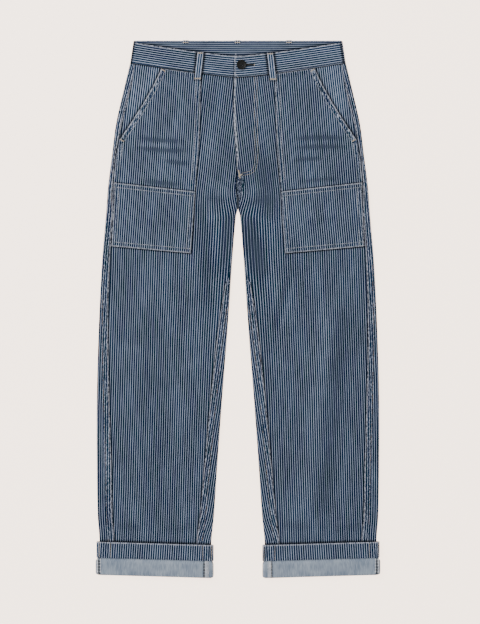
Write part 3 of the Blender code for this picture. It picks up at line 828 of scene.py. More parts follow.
@dataclass(frozen=True)
class LitVinyl:
    """The studio's back-lit white vinyl table: an even, slightly warm, near white."""

    name: str = "white_vinyl_backlit"
    colour: str = "#ECE8E5"
    glow: tuple[float, float, float] = (3.80, 3.00, 2.42)

    def make(self) -> bpy.types.Material:
        """Build the material: the glow is even, so that no pattern shows."""
        material, _, shader = blank_material(self.name)
        shader.inputs["Base Color"].default_value = linear(self.colour)
        shader.inputs["Roughness"].default_value = 0.8
        shader.inputs["Emission Color"].default_value = (*self.glow, 1.0)
        shader.inputs["Emission Strength"].default_value = 1.0
        return material


@dataclass
class Finishes:
    """Every material of the trousers, made once."""

    denim: bpy.types.Material
    wrong_side: bpy.types.Material
    ecru: bpy.types.Material
    cream: bpy.types.Material
    white: bpy.types.Material
    tobacco: bpy.types.Material
    navy: bpy.types.Material
    black: bpy.types.Material
    resin: bpy.types.Material

    @classmethod
    def made(cls) -> "Finishes":
        """Make them all."""
        return cls(
            denim=StripedDenim().make(),
            wrong_side=DenimWrongSide().make(),
            ecru=CottonThread("cotton_thread_ecru", "#C6C8D0", "#8A909C").make(),
            cream=CottonThread("cotton_thread_cream", "#DCC9AE", "#BBAE9C").make(),
            white=CottonThread("cotton_thread_white", "#F4F8FF", "#D2DAE6").make(),
            tobacco=CottonThread("cotton_thread_tan", "#B08E6C", "#585D66").make(),
            navy=CottonThread("cotton_thread_navy", "#1B2635", "#263447").make(),
            black=CottonThread("cotton_thread_black", "#07090E", "#10141C").make(),
            resin=MouldedResin().make(),
        )


# ---------------------------------------------------------------- cloth


def only(piece: bpy.types.Object) -> None:
    """Select one object alone and make it the active one."""
    bpy.ops.object.select_all(action="DESELECT")
    piece.select_set(True)
    bpy.context.view_layer.objects.active = piece


def settle(piece: bpy.types.Object, slot: Slot | None, *nodes: str) -> None:
    """Let a finished piece ride on the body, and stand for its nodes.

    Args:
        piece: the piece.
        slot: the record's slot for it, if it has one; not used.
        nodes: the solids that it replaces.
    """
    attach(piece, BODY)
    if nodes:
        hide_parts(*nodes)
    log.info("%s: %d faces", piece.name, len(piece.data.polygons))


@dataclass
class Sheet:
    """A net of points mapped on to a grid, thickened inwards, with its pattern's own map.

    Rows run down the piece and columns across it, so that right, down and out is a
    left-handed set; flip turns a mirrored piece's faces out, and closed joins each row
    into a ring.
    """

    name: str  # of the solid that it stands for
    points: Array  # rows, columns, 3
    pattern: Array  # rows, columns, 2: across the stripes and along them
    attributes: dict[str, Array]  # those of the attributes in PLAIN that aren't plain
    finishes: tuple[bpy.types.Material, ...]  # outside, and inside where that differs
    thickness: float = LAY.cloth
    flip: bool = False
    closed: bool = False
    slot: Slot = Slot.DENIM
    rounding: float = 0.00040

    def build(self) -> bpy.types.Object:
        """Make the mesh, its map and attributes, then thicken it and round its edges."""
        rows, columns = self.points.shape[:2]
        bpy.ops.object.select_all(action="DESELECT")
        bpy.ops.mesh.primitive_grid_add(x_subdivisions=columns - 1, y_subdivisions=rows - 1, size=2)
        piece = bpy.context.object
        piece.name = piece.data.name = f"{self.name}_cloth"
        mesh = piece.data
        flat = np.empty(len(mesh.vertices) * 3, np.float32)
        mesh.vertices.foreach_get("co", flat)
        flat = flat.reshape(-1, 3)
        column = np.rint((flat[:, 0] + 1) / 2 * (columns - 1)).astype(int)
        row = np.rint((1 - flat[:, 1]) / 2 * (rows - 1)).astype(int)
        mesh.vertices.foreach_set("co", self.points[row, column].astype(np.float32).ravel())
        self.map_pattern(mesh, row, column)
        for name, value in PLAIN.items():
            values = np.broadcast_to(self.attributes.get(name, value), (rows, columns))
            layer = mesh.attributes.new(name, "FLOAT", "POINT")
            layer.data.foreach_set("value", values[row, column].astype(np.float32))
        if self.flip:
            mesh.flip_normals()
        mesh.update()
        if self.closed:
            self.close(piece)
        for material in self.finishes:
            mesh.materials.append(material)
        self.thicken(piece)
        settle(piece, self.slot, self.name)
        return piece

    def map_pattern(self, mesh: bpy.types.Mesh, row: Array, column: Array) -> None:
        """Write the pattern's place at each corner of each face.

        Args:
            mesh: the grid.
            row: each point's row.
            column: and its column.
        """
        while mesh.uv_layers:
            mesh.uv_layers.remove(mesh.uv_layers[0])
        layer = mesh.uv_layers.new(name=UV_MAP)
        corner = np.empty(len(mesh.loops), np.int32)
        mesh.loops.foreach_get("vertex_index", corner)
        places = self.pattern[row[corner], column[corner]]
        layer.data.foreach_set("uv", places.astype(np.float32).ravel())

    def close(self, piece: bpy.types.Object) -> None:
        """Weld the two ends of each row, leaving the pattern's own seam there."""
        only(piece)
        bpy.ops.object.mode_set(mode="EDIT")
        bpy.ops.mesh.select_all(action="SELECT")
        bpy.ops.mesh.remove_doubles(threshold=1e-6)
        bpy.ops.object.mode_set(mode="OBJECT")

    def thicken(self, piece: bpy.types.Object) -> None:
        """Give the wall its thickness and its edges their roundness, and shade it smooth."""
        only(piece)
        wall = piece.modifiers.new("wall", "SOLIDIFY")
        wall.thickness = self.thickness
        wall.offset = -1
        wall.use_even_offset = not self.closed
        wall.material_offset = len(self.finishes) - 1
        bpy.ops.object.modifier_apply(modifier=wall.name)
        edge = piece.modifiers.new("edge", "BEVEL")
        edge.width = self.rounding
        edge.segments = 2
        edge.limit_method = "ANGLE"
        edge.angle_limit = math.radians(55)
        edge.use_clamp_overlap = True
        bpy.ops.object.modifier_apply(modifier=edge.name)
        bpy.ops.object.shade_smooth_by_angle(angle=math.radians(48))


@dataclass
class Needle:
    """Sews: gathers stitches laid along lines, then joins them into one piece."""

    name: str
    thread: bpy.types.Material
    length: float = 0.0024
    pitch: float = 0.0031
    width: float = 0.00078  # real thread is 0.5 mm; drawn thicker so that it shows
    height: float = 0.00050
    look: float = 0.001  # ahead and behind, for a stitch's direction
    tack_lift: float = 0.0002

    def __post_init__(self) -> None:
        """Model the one stitch that the others copy."""
        bpy.ops.object.select_all(action="DESELECT")
        bpy.ops.mesh.primitive_uv_sphere_add(
            segments=6, ring_count=4, radius=0.5, rotation=(0.0, math.pi / 2, 0.0)
        )
        stitch = bpy.context.object
        bpy.ops.object.transform_apply(location=False, rotation=True, scale=False)
        bpy.ops.object.mode_set(mode="EDIT")
        bpy.ops.mesh.select_all(action="DESELECT")
        bpy.ops.object.mode_set(mode="OBJECT")
        for vertex in stitch.data.vertices:
            vertex.select = abs(vertex.co.x) > 0.45
        bpy.ops.object.mode_set(mode="EDIT")
        bpy.ops.transform.translate(value=(0.0, 0.0, -0.55))
        bpy.ops.object.mode_set(mode="OBJECT")
        mesh = stitch.data
        self.shape = np.array([v.co[:] for v in mesh.vertices])
        self.faces = [tuple(p.vertices) for p in mesh.polygons]
        bpy.data.objects.remove(stitch)
        bpy.data.meshes.remove(mesh)
        self.points: list[Array] = []
        self.count = 0

    def stitch(self, middle: Array, along: Array, length: Array, width: float) -> None:
        """Lay stitches.

        Args:
            middle: the middle of each stitch, on the cloth.
            along: each stitch's direction.
            length: each stitch's length.
            width: the thread's width.
        """
        along = along / np.linalg.norm(along, axis=1, keepdims=True)
        side = np.cross(UP, along)
        side /= np.linalg.norm(side, axis=1, keepdims=True)
        up = np.cross(along, side)
        shape = self.shape[None]
        placed = (
            middle[:, None]
            + shape[..., 0:1] * along[:, None] * np.reshape(length, (-1, 1, 1))
            + shape[..., 1:2] * side[:, None] * width
            + shape[..., 2:3] * up[:, None] * self.height
        )
        self.points.append(placed.reshape(-1, 3))
        self.count += len(middle)

    def row(self, line: Array, start: float = 0.0) -> None:
        """Sew a row of stitches.

        Args:
            line: points on the cloth.
            start: how far along it the first stitch begins.
        """
        steps = np.linalg.norm(np.diff(line, axis=0), axis=1)
        reach = np.concatenate([[0.0], np.cumsum(steps)])
        places = np.arange(start + self.pitch / 2, reach[-1] - self.pitch / 3, self.pitch)
        at = np.stack([np.interp(places, reach, line[:, k]) for k in range(3)], axis=1)
        ahead = [np.interp(places + self.look, reach, line[:, k]) for k in range(3)]
        behind = [np.interp(places - self.look, reach, line[:, k]) for k in range(3)]
        along = np.stack(ahead, axis=1) - np.stack(behind, axis=1)
        keep = np.linalg.norm(along, axis=1) > 1e-6
        at, along = at[keep], along[keep]
        self.stitch(at, along, np.full(len(at), self.length), self.width)

    def tack(self, start: Array, end: Array, width: float, pitch: float = 0.00075) -> None:
        """Sew a bar tack: close stitches across a line.

        Args:
            start: one end of the line.
            end: its other end.
            width: the stitches' length, across the line.
            pitch: from one stitch to the next.
        """
        start, end = np.asarray(start, float), np.asarray(end, float)
        run = end - start
        count = max(round(np.linalg.norm(run) / pitch), 2)
        t = (np.arange(count) + 0.5) / count
        at = start + t[:, None] * run
        across = np.cross(UP, run / np.linalg.norm(run))
        lean = np.where(np.arange(count) % 2, 0.25, -0.25)[:, None] * run / np.linalg.norm(run)
        self.stitch(at + self.tack_lift * UP, across + lean, np.full(count, width), pitch * 1.2)

    def finish(self) -> None:
        """Join the stitches into one piece."""
        size = len(self.shape)
        points = np.concatenate(self.points)
        faces = [
            tuple(index + n * size for index in face)
            for n in range(self.count)
            for face in self.faces
        ]
        mesh = bpy.data.meshes.new(self.name)
        mesh.from_pydata(points.tolist(), [], faces)
        mesh.materials.append(self.thread)
        mesh.shade_smooth()
        piece = bpy.data.objects.new(self.name, mesh)
        bpy.context.scene.collection.objects.link(piece)
        settle(piece, None)


# ---------------------------------------------------------------- panels


def front_seams(side: int) -> list[Array]:
    """Plan polylines of the edges of the back panel that lie on one front."""
    y = np.linspace(0.462, -0.45, 90)
    side_lap = LAY.leg("outer", y) - LAY.leg("side_lap", y)
    low_y = np.linspace(0.05, -0.45, 50)
    inseam_lap = LAY.leg("inner", low_y) + LAY.leg("inseam_lap", low_y)
    return [np.stack([side * side_lap, y], axis=1), np.stack([side * inseam_lap, low_y], axis=1)]


@dataclass
class Panels:
    """The four leg panels: two fronts, and two backs that wrap round to the front."""

    finishes: Finishes
    row_stops: tuple[tuple[float, float], ...] = (
        (0.4700, 0.0030),
        (0.2100, 0.0018),
        (0.1650, 0.0030),
        (-0.5040, 0.0),
    )
    front_spans: int = 79  # columns of a front's flat part
    lap_under: float = 0.0140  # cloth hidden under a felled seam
    edge_spans: int = 12  # columns that go round the inner fold
    edge_reach: float = 0.0060
    lap_spans: int = 9
    arc_spans: int = 12
    bottom_spans: int = 22
    lap_bunch: float = 0.011
    seam_gap: float = 0.02  # of half a circle, between front and back on a fold
    seam_width: float = 0.0145
    seam_beads: float = 0.22
    seam_fade: float = 0.3  # how much paler the most puckered cloth is
    crotch_shade: float = 0.25
    hip_fade: float = 0.29
    hip_x: tuple[float, float] = (0.12, 0.16)
    hip_y: tuple[float, float] = (0.33, 0.40)
    pull_depth: dict[int, float] = field(default_factory=lambda: {-1: 0.0130, 1: 0.0165})
    pull_reach: float = 0.040
    pull_y: tuple[float, float] = (0.2300, 0.1680)
    release_y: tuple[float, float] = (0.1500, -0.2200)
    # how wide the puckered wedge beside the crotch seam is at its top
    wedge: dict[int, float] = field(default_factory=lambda: {-1: 0.0010, 1: 0.0105})
    mouth_shadow: float = 0.62
    hip_pitch: float = 1.02  # stripes lie closer here than on the leg
    lean_leg: float = 1.8  # degrees that the stripes lean outwards going down
    lean_hip: float = 6.8
    lean_turn: float = 0.010
    lean_back: float = 0.6
    hollow: float = 0.0006  # how far the cloth under a leg lifts off the floor

    def __post_init__(self) -> None:
        """Work out the rows that both kinds of panel share."""
        self.y = spaced(self.row_stops)[:, None]

    def turn(self, y: Array) -> tuple[Array, Array, Array, Array]:
        """How the inseam sits at each y.

        Args:
            y: places down the leg.

        Returns:
            Shares from 0 to 1: the inner fold is formed, the back panel's turn round it in
            half circles, the seam has risen on to the front, and its lap has grown.
        """
        formed = ease(y, LAY.crotch_y + 0.0020, LAY.crotch_y - 0.0060)
        back = 0.5 + 0.5 * ease(y, 0.1250, 0.0780)
        risen = ease(y, 0.0750, 0.0620)
        grown = ease(y, 0.0640, 0.0480)
        return formed, back, risen, grown

    def lean(self, y: Array) -> Array:
        """How far the stripes have moved across at each y, from where they are at y 0."""
        slope = math.tan(math.radians(self.lean_leg))
        hip = math.tan(math.radians(self.lean_hip)) - slope
        above = self.lean_turn * np.logaddexp(0.0, (y - LAY.crotch_y) / self.lean_turn)
        return slope * y + hip * above

    def pull(self, side: int, w: Array, y: Array) -> Array:
        """How far the stripes are drawn in towards the crotch and the top of the inseam."""
        near = 1 / (1 + (w / self.pull_reach) ** 2)
        drawn = ease(y, *self.pull_y) * ease(y, *self.release_y[::-1])
        return self.pull_depth[side] * near * drawn

    def front(self, word: str) -> None:
        """One front, from under the side seam to the fly, and below it to the inseam."""
        side, y = SIDES[word], self.y
        formed, back, risen, _ = self.turn(y)
        radius = LAY.fold_radius(side, y, "inner", risen)
        inner, outer = LAY.leg("inner", y), LAY.leg("outer", y)
        hidden = np.maximum(LAY.leg("side_lap", y) - self.lap_under, LAY.layer + 2 * LAY.cloth)
        start = outer - hidden
        fly = side * FLY.read("under_x" if side < 0 else "over_x", y)
        under = inner + np.maximum(LAY.leg("inseam_lap", y) - self.lap_under, radius + LAY.gap)
        end = np.where(y >= LAY.crotch_y, fly, np.where(y > 0.12, inner, under))
        on_fold = formed * ease(y, 0.0600, 0.0740) * (y < LAY.crotch_y)
        roll = math.pi * np.maximum(1 - back - self.seam_gap, 0.0)
        # flat as far as the fold, then the last columns round it
        last = mix(end + self.edge_reach, inner + radius, on_fold)
        columns = self.front_spans
        t = np.linspace(0, 1, columns, endpoint=False)[None]
        w = np.concatenate([mix(start, last, t), np.zeros((len(y), self.edge_spans + 1))], axis=1)
        s = np.linspace(0, 1, self.edge_spans + 1)[None]
        w[:, columns:] = mix(
            end + self.edge_reach * (1 - s), inner + radius * (1 - np.sin(roll * s)), on_fold
        )
        place = LAY.hem_shift(w, LAY.waist_shift(w, y))
        z = LAY.front(side, w, place) + LAY.lapped(side, w, place)
        half = (z[:, columns - 1 : columns] - LAY.lift(w[:, columns:], place[:, columns:])) / 2
        arc = LAY.lift(w[:, columns:], place[:, columns:]) + half * (1 + np.cos(roll * s))
        z[:, columns:] = mix(z[:, columns:], arc, on_fold)
        points = np.stack([side * w, place, z], axis=-1)
        across = w * mix(1.0, self.hip_pitch, ease(y, 0.10, 0.25))
        across = across + self.lean(place) + self.pull(side, w, place)
        pattern = np.stack([side * across, place], axis=-1)
        attributes = self.front_attributes(side, points)
        sheet = Sheet(
            f"front_{word}", points, pattern, attributes,
            (self.finishes.denim, self.finishes.wrong_side), flip=side > 0,
        )
        piece = sheet.build()

    def front_attributes(self, side: int, points: Array) -> dict[str, Array]:
        """Wear with painted crease highlight and shade, and unwashed dye with painted shade beside
        all that is sewn on the front.

        Args:
            side: which leg.
            points: the front's net.

        Returns:
            The sheet's attributes.
        """
        x, y = points[..., 0], points[..., 1]
        # crease wear with painted highlight and shade
        wear_and_shade = LAY.creases(x, y, "wear_and_shade")
        lines = front_seams(side) + PatchPockets.outlines(side) + BeltLoops.plans()
        # painted shade with unwashed dye beside the back's laps, the patches, the loops, the
        # waistband and the pocket mouth, and above the cuffs
        groove_dye_and_shade = np.full(x.shape, FAR)
        for line in lines:
            groove_dye_and_shade = np.minimum(groove_dye_and_shade, distance_to(x, y, line))
        groove_dye_and_shade = np.minimum(groove_dye_and_shade, np.abs(y - LAY.band_foot(x)))
        mouth = PatchPockets.edges(side, UPPER_POCKET)["mouth"]
        groove_dye_and_shade = np.minimum(groove_dye_and_shade, distance_to(x, y, mouth) * self.mouth_shadow)
        cuff = LAY.hem_y(np.abs(x)) + LAY.turn_up
        groove_dye_and_shade = np.minimum(groove_dye_and_shade, np.abs(y - cuff) * THICK_STEP)
        line_y = np.linspace(0.47, LAY.crotch_y, 80)
        over = np.stack([FLY.read("over_x", line_y), line_y], axis=1)
        from_fly = distance_to(x, y, over)
        reach = self.wedge[side] * ease(y, 0.1950, 0.2440) + 0.0016
        crotch = ease(from_fly, reach + 0.0020, reach) * ease(y, 0.2580, 0.2500)
        wear_and_shade = wear_and_shade - self.crotch_shade * crotch
        wear_and_shade = wear_and_shade + self.hip_fade * ease(y, *self.hip_y) * ease(np.abs(x), *self.hip_x)
        edge = np.full(x.shape, FAR)
        if side > 0:
            edge = from_fly - 0.0024 + 0.0060 * ease(y, 0.2900, 0.2500)
        else:
            # painted shade beside the lapping fly edge
            groove_dye_and_shade = np.minimum(groove_dye_and_shade, from_fly)
        return {WEAR_AND_SHADE: wear_and_shade, EDGE: edge, GROOVE_DYE_AND_SHADE: groove_dye_and_shade, BEADS: crotch}

    def back(self, word: str) -> None:
        """One back, flat on the surface, rolled over both folds of the leg."""
        side, y = SIDES[word], self.y
        formed, turn, risen, grown = self.turn(y)
        inner, outer = LAY.leg("inner", y), LAY.leg("outer", y)
        radius = LAY.fold_radius(side, y, "inner", risen)
        outer_radius = LAY.fold_radius(side, y, "outer")
        lap = np.maximum(LAY.leg("inseam_lap", y) - radius, 0.0) * grown
        count = self.lap_spans + self.arc_spans
        k = np.arange(count + 1)[None]
        bunched = (1 - grown) * self.lap_bunch * np.minimum(k, self.lap_spans)
        share = mix(bunched, 1.0, np.maximum(k - self.lap_spans, 0) / self.arc_spans)
        angle = math.pi * turn * (1 - share)
        on_lap = np.maximum(1 - k / self.lap_spans, 0.0)
        w = inner + radius * (1 - np.sin(angle)) + lap * on_lap
        z = LAY.lift(w, y) + radius * (1 - np.cos(angle))
        top = LAY.front(side, w, y) + LAY.layer
        z = np.where(on_lap > 0, mix(z, top, grown), z)
        flat = mix(inner, inner + radius, k / count)
        w, z = mix(flat, w, formed), mix(LAY.lift(flat, y), z, formed)
        # under the leg
        low = np.linspace(0, 1, self.bottom_spans + 1)[None, 1:-1]
        w_low = mix(w[:, -1:], outer - outer_radius, low)
        hollow = self.hollow * np.sin(math.pi * low) * (1 + np.sin(y * 61 + low * 9)) / 2
        z_low = LAY.lift(w_low, y) + hollow
        # round the side fold and on to the front
        turn_out = np.linspace(0, math.pi, self.arc_spans + 1)[None]
        w_arc = outer - outer_radius * (1 - np.sin(turn_out))
        z_arc = LAY.lift(w_arc, y) + outer_radius * (1 - np.cos(turn_out))
        lap_end = outer - np.maximum(LAY.leg("side_lap", y), outer_radius + LAY.gap)
        out = np.linspace(0, 1, self.lap_spans + 1)[None, 1:]
        w_lap = mix(outer - outer_radius, lap_end, out)
        z_lap = LAY.front(side, w_lap, y) + LAY.layer
        w = np.concatenate([w, w_low, w_arc, w_lap], axis=1)
        z = np.concatenate([z, z_low, z_arc, z_lap], axis=1)
        place = LAY.hem_shift(w, y)
        wrapped = ease(z - LAY.lift(w, y), 0.0, 0.0060)
        fall_back = LAY.top_y - (LAY.waist_back_y - LAY.band_height - LAY.waist_join)
        fall_front = LAY.top_y - (LAY.waist_side_y - LAY.band_height - LAY.waist_join)
        fall = mix(fall_back, fall_front + LAY.dip(w), wrapped)
        place = place - ease(y, LAY.hip_y, LAY.top_y) * fall
        points = np.stack([side * w, place, z], axis=-1)
        # stripes follow the cloth round, measured from the side fold
        steps = np.hypot(np.diff(w, axis=1), np.diff(z, axis=1))
        around = np.concatenate([np.zeros((len(w), 1)), np.cumsum(steps, axis=1)], axis=1)
        middle = count + 1 + len(low[0]) + self.arc_spans // 2
        around = around - around[:, middle : middle + 1]
        across = -around + math.tan(math.radians(self.lean_back)) * place
        pattern = np.stack([side * across, place], axis=-1)
        edge = np.full(w.shape, FAR)
        edge[:, middle:] = np.abs(around[:, -1:] - around)[:, middle:]
        from_start = np.abs(around - around[:, :1])
        edge[:, :middle] = np.where(grown > 0.5, from_start[:, :middle], FAR)
        beads = self.seam_beads * ease(edge, self.seam_width, 0.8 * self.seam_width)
        share = (z - LAY.lift(w, y)) / (2 * np.where(w > 0.12, outer_radius, radius))
        # painted shade: the sides and underside of each fold are fully dark; the cuff's and
        # waistband's steps get painted shade too
        groove_dye_and_shade = np.where(share < FOLD_SIDE, 0.0, FAR)
        cuff = LAY.hem_y(w) + LAY.turn_up
        below = (wrapped < 0.5) * FAR
        groove_dye_and_shade = np.minimum(groove_dye_and_shade, np.abs(place - cuff) * THICK_STEP + below)
        groove_dye_and_shade = np.minimum(groove_dye_and_shade, np.abs(place - LAY.band_foot(w)) + below)
        # crease wear with painted highlight and shade where the back shows on top, and paler
        # puckered seams
        wear_and_shade = LAY.creases(side * w, place, "wear_and_shade") * wrapped + self.seam_fade * beads
        sheet = Sheet(
            f"back_{word}", points, pattern,
            {WEAR_AND_SHADE: wear_and_shade, EDGE: edge, GROOVE_DYE_AND_SHADE: groove_dye_and_shade, BEADS: beads},
            (self.finishes.denim, self.finishes.wrong_side), flip=side > 0,
        )
        piece = sheet.build()


# ---------------------------------------------------------------- pockets


@dataclass
class PatchPockets:
    """Two patches on each front: a tall one with a slanted mouth, and a short one on it."""

    finishes: Finishes
    down_step: float = 0.0019
    across_spans: int = 80
    lean: dict[int, float] = field(default_factory=lambda: {-1: 4.1, 1: 4.9})
    pitch: dict[int, float] = field(default_factory=lambda: {-1: 1.02, 1: 1.0})
    wear_and_shade: float = 0.06
    edge_inset: float = 0.0018  # of the row of stitches on a patch's edge
    hem_inset: float = 0.0090  # and of the row that holds its turning
    foot_inset: float = 0.0085
    # for each edge: distance that hides its wear, how beaded its hem is, and how dark
    trim: dict[str, tuple[float, float, float]] = field(
        default_factory=lambda: {
            "mouth": (-0.0006, 0.55, 0.0),
            "side": (0.0006, 0.15, 0.0),
            "inner": (0.0006, 0.12, 0.0),
            "top": (0.0, 0.08, 0.08),
            "bottom": (0.0, 0.08, 0.08),
        }
    )

    @staticmethod
    def ends(table: tuple[tuple[float, ...], ...], steps: int) -> tuple[Array, Array, Array, Array]:
        """Outer and inner ends of even lines across a patch, from its top down."""
        values = np.array(table)
        length = np.hypot(np.diff(values[:, 2]), np.diff(values[:, 3]))
        reach = np.concatenate([[0.0], np.cumsum(length)])
        at = np.linspace(0, reach[-1], steps)
        return tuple(np.interp(at, reach, values[:, k])[:, None] for k in range(4))

    @classmethod
    def edges(cls, side: int, table: tuple[tuple[float, ...], ...]) -> dict[str, Array]:
        """Plan polylines of a patch's four edges.

        Args:
            side: which leg.
            table: the patch's lines.

        Returns:
            Each edge by name, with the outer one cut where the mouth ends.
        """
        outer_w, outer_y, inner_w, inner_y = cls.ends(table, 60)
        outer = np.concatenate([side * outer_w, outer_y], axis=1)
        inner = np.concatenate([side * inner_w, inner_y], axis=1)
        t = np.linspace(0, 1, 30)[:, None]
        mouth_end = UPPER_POCKET[MOUTH_ROWS - 1][1]
        return {
            "mouth": outer[outer[:, 1] > mouth_end - 0.001],
            "side": outer[outer[:, 1] < mouth_end],
            "inner": inner,
            "top": mix(outer[:1], inner[:1], t),
            "bottom": mix(outer[-1:], inner[-1:], t),
        }

    @classmethod
    def outlines(cls, side: int) -> list[Array]:
        """The edges of both patches that the front shows beside."""
        upper, lower = cls.edges(side, UPPER_POCKET), cls.edges(side, LOWER_POCKET)
        return [
            upper["mouth"], upper["side"], upper["inner"],
            lower["side"], lower["inner"], lower["bottom"],
        ]

    def patch(self, word: str, which: str, table: tuple, level: int) -> None:
        """One patch, laid on the front and what is under it.

        Args:
            word: "left" or "right".
            which: "upper" or "lower".
            table: the patch's lines.
            level: how many layers it lies above the front.
        """
        side = SIDES[word]
        height = table[0][3] - table[-1][3]
        outer_w, outer_y, inner_w, inner_y = self.ends(table, round(height / self.down_step) + 1)
        t = np.linspace(0, 1, self.across_spans + 1)[None]
        w, y = mix(outer_w, inner_w, t), mix(outer_y, inner_y, t)
        points = LAY.on_front(side * w, y, level)
        across = w * self.pitch[side] + math.tan(math.radians(self.lean[side])) * (y - 0.2)
        pattern = np.stack([side * across, y], axis=-1)
        x = side * w
        edge, beads = np.full(x.shape, FAR), np.zeros(x.shape)
        # crease wear with painted highlight and shade, and the patch's paler wash
        wear_and_shade = LAY.creases(x, y, "wear_and_shade") + self.wear_and_shade
        for name, line in self.edges(side, table).items():
            if len(line) < 2:
                continue
            hides, beaded, shade = self.trim[name]
            away = distance_to(x, y, line)
            strip = ease(away, 0.0095, 0.0075)
            edge = np.minimum(edge, away + hides)
            beads = np.maximum(beads, beaded * strip)
            wear_and_shade = wear_and_shade - shade * strip * ease(away, 0.0010, 0.0030)
        # painted shade with unwashed dye below the loops, above the lower patch and under the
        # waistband
        groove_dye_and_shade = np.full(x.shape, FAR)
        for line in BeltLoops.plans():
            groove_dye_and_shade = np.minimum(groove_dye_and_shade, distance_to(x, y, line))
        if level == 1:
            lower = self.edges(side, LOWER_POCKET)
            groove_dye_and_shade = np.minimum(groove_dye_and_shade, distance_to(x, y, lower["top"]))
            groove_dye_and_shade = np.minimum(groove_dye_and_shade, np.abs(y - LAY.band_foot(x)))
        sheet = Sheet(
            f"pocket_{which}_{word}", points, pattern,
            {WEAR_AND_SHADE: wear_and_shade, EDGE: edge, GROOVE_DYE_AND_SHADE: groove_dye_and_shade, BEADS: beads},
            (self.finishes.denim, self.finishes.wrong_side), flip=side > 0,
        )
        piece = sheet.build()

    def sew(self, word: str) -> None:
        """Topstitch both patches: twin rows down the sides and mouths, one at each foot."""
        side = SIDES[word]
        edge_row = Needle(f"stitching_pockets_{word}", self.finishes.ecru, width=0.0010)
        hem_row = Needle(f"stitching_pocket_hems_{word}", self.finishes.ecru, width=0.0014)
        upper, lower = self.edges(side, UPPER_POCKET), self.edges(side, LOWER_POCKET)
        foot = lower["top"][0, 1]
        for edges, level, last in ((upper, 1, foot), (lower, 2, -FAR)):
            for name, turned in (("mouth", side), ("side", side), ("inner", -side)):
                line = edges[name]
                if len(line) < 2:
                    continue
                for needle, distance in ((edge_row, self.edge_inset), (hem_row, self.hem_inset)):
                    row = offset(line, turned * distance)
                    row = row[row[:, 1] > last]
                    needle.row(LAY.on_front(row[:, 0], row[:, 1], level))
        for name, turned in (("top", -side), ("bottom", side)):
            for needle, distance in ((edge_row, self.edge_inset), (hem_row, self.foot_inset)):
                row = offset(lower[name], turned * distance)
                needle.row(LAY.on_front(row[:, 0], row[:, 1], 2))
        edge_row.finish()
        hem_row.finish()
        tacks = Needle(f"bar_tacks_pockets_{word}", self.finishes.cream)
        mouth = upper["mouth"]
        run = (mouth[-1] - mouth[0]) / np.linalg.norm(mouth[-1] - mouth[0])
        across = np.array([run[1], -run[0]]) * side
        for at in (mouth[0] + 0.0014 * run, mouth[-1]):
            ends = np.stack([at + 0.0005 * across, at + 0.0090 * across])
            ends = LAY.on_front(ends[:, 0], ends[:, 1], 1)
            tacks.tack(ends[0], ends[1], 0.0026)
        tacks.finish()

    def build(self) -> None:
        """Both pockets of both sides, and their stitching."""
        for word in SIDES:
            self.patch(word, "upper", UPPER_POCKET, 1)
            self.patch(word, "lower", LOWER_POCKET, 2)
            self.sew(word)


# ---------------------------------------------------------------- waist


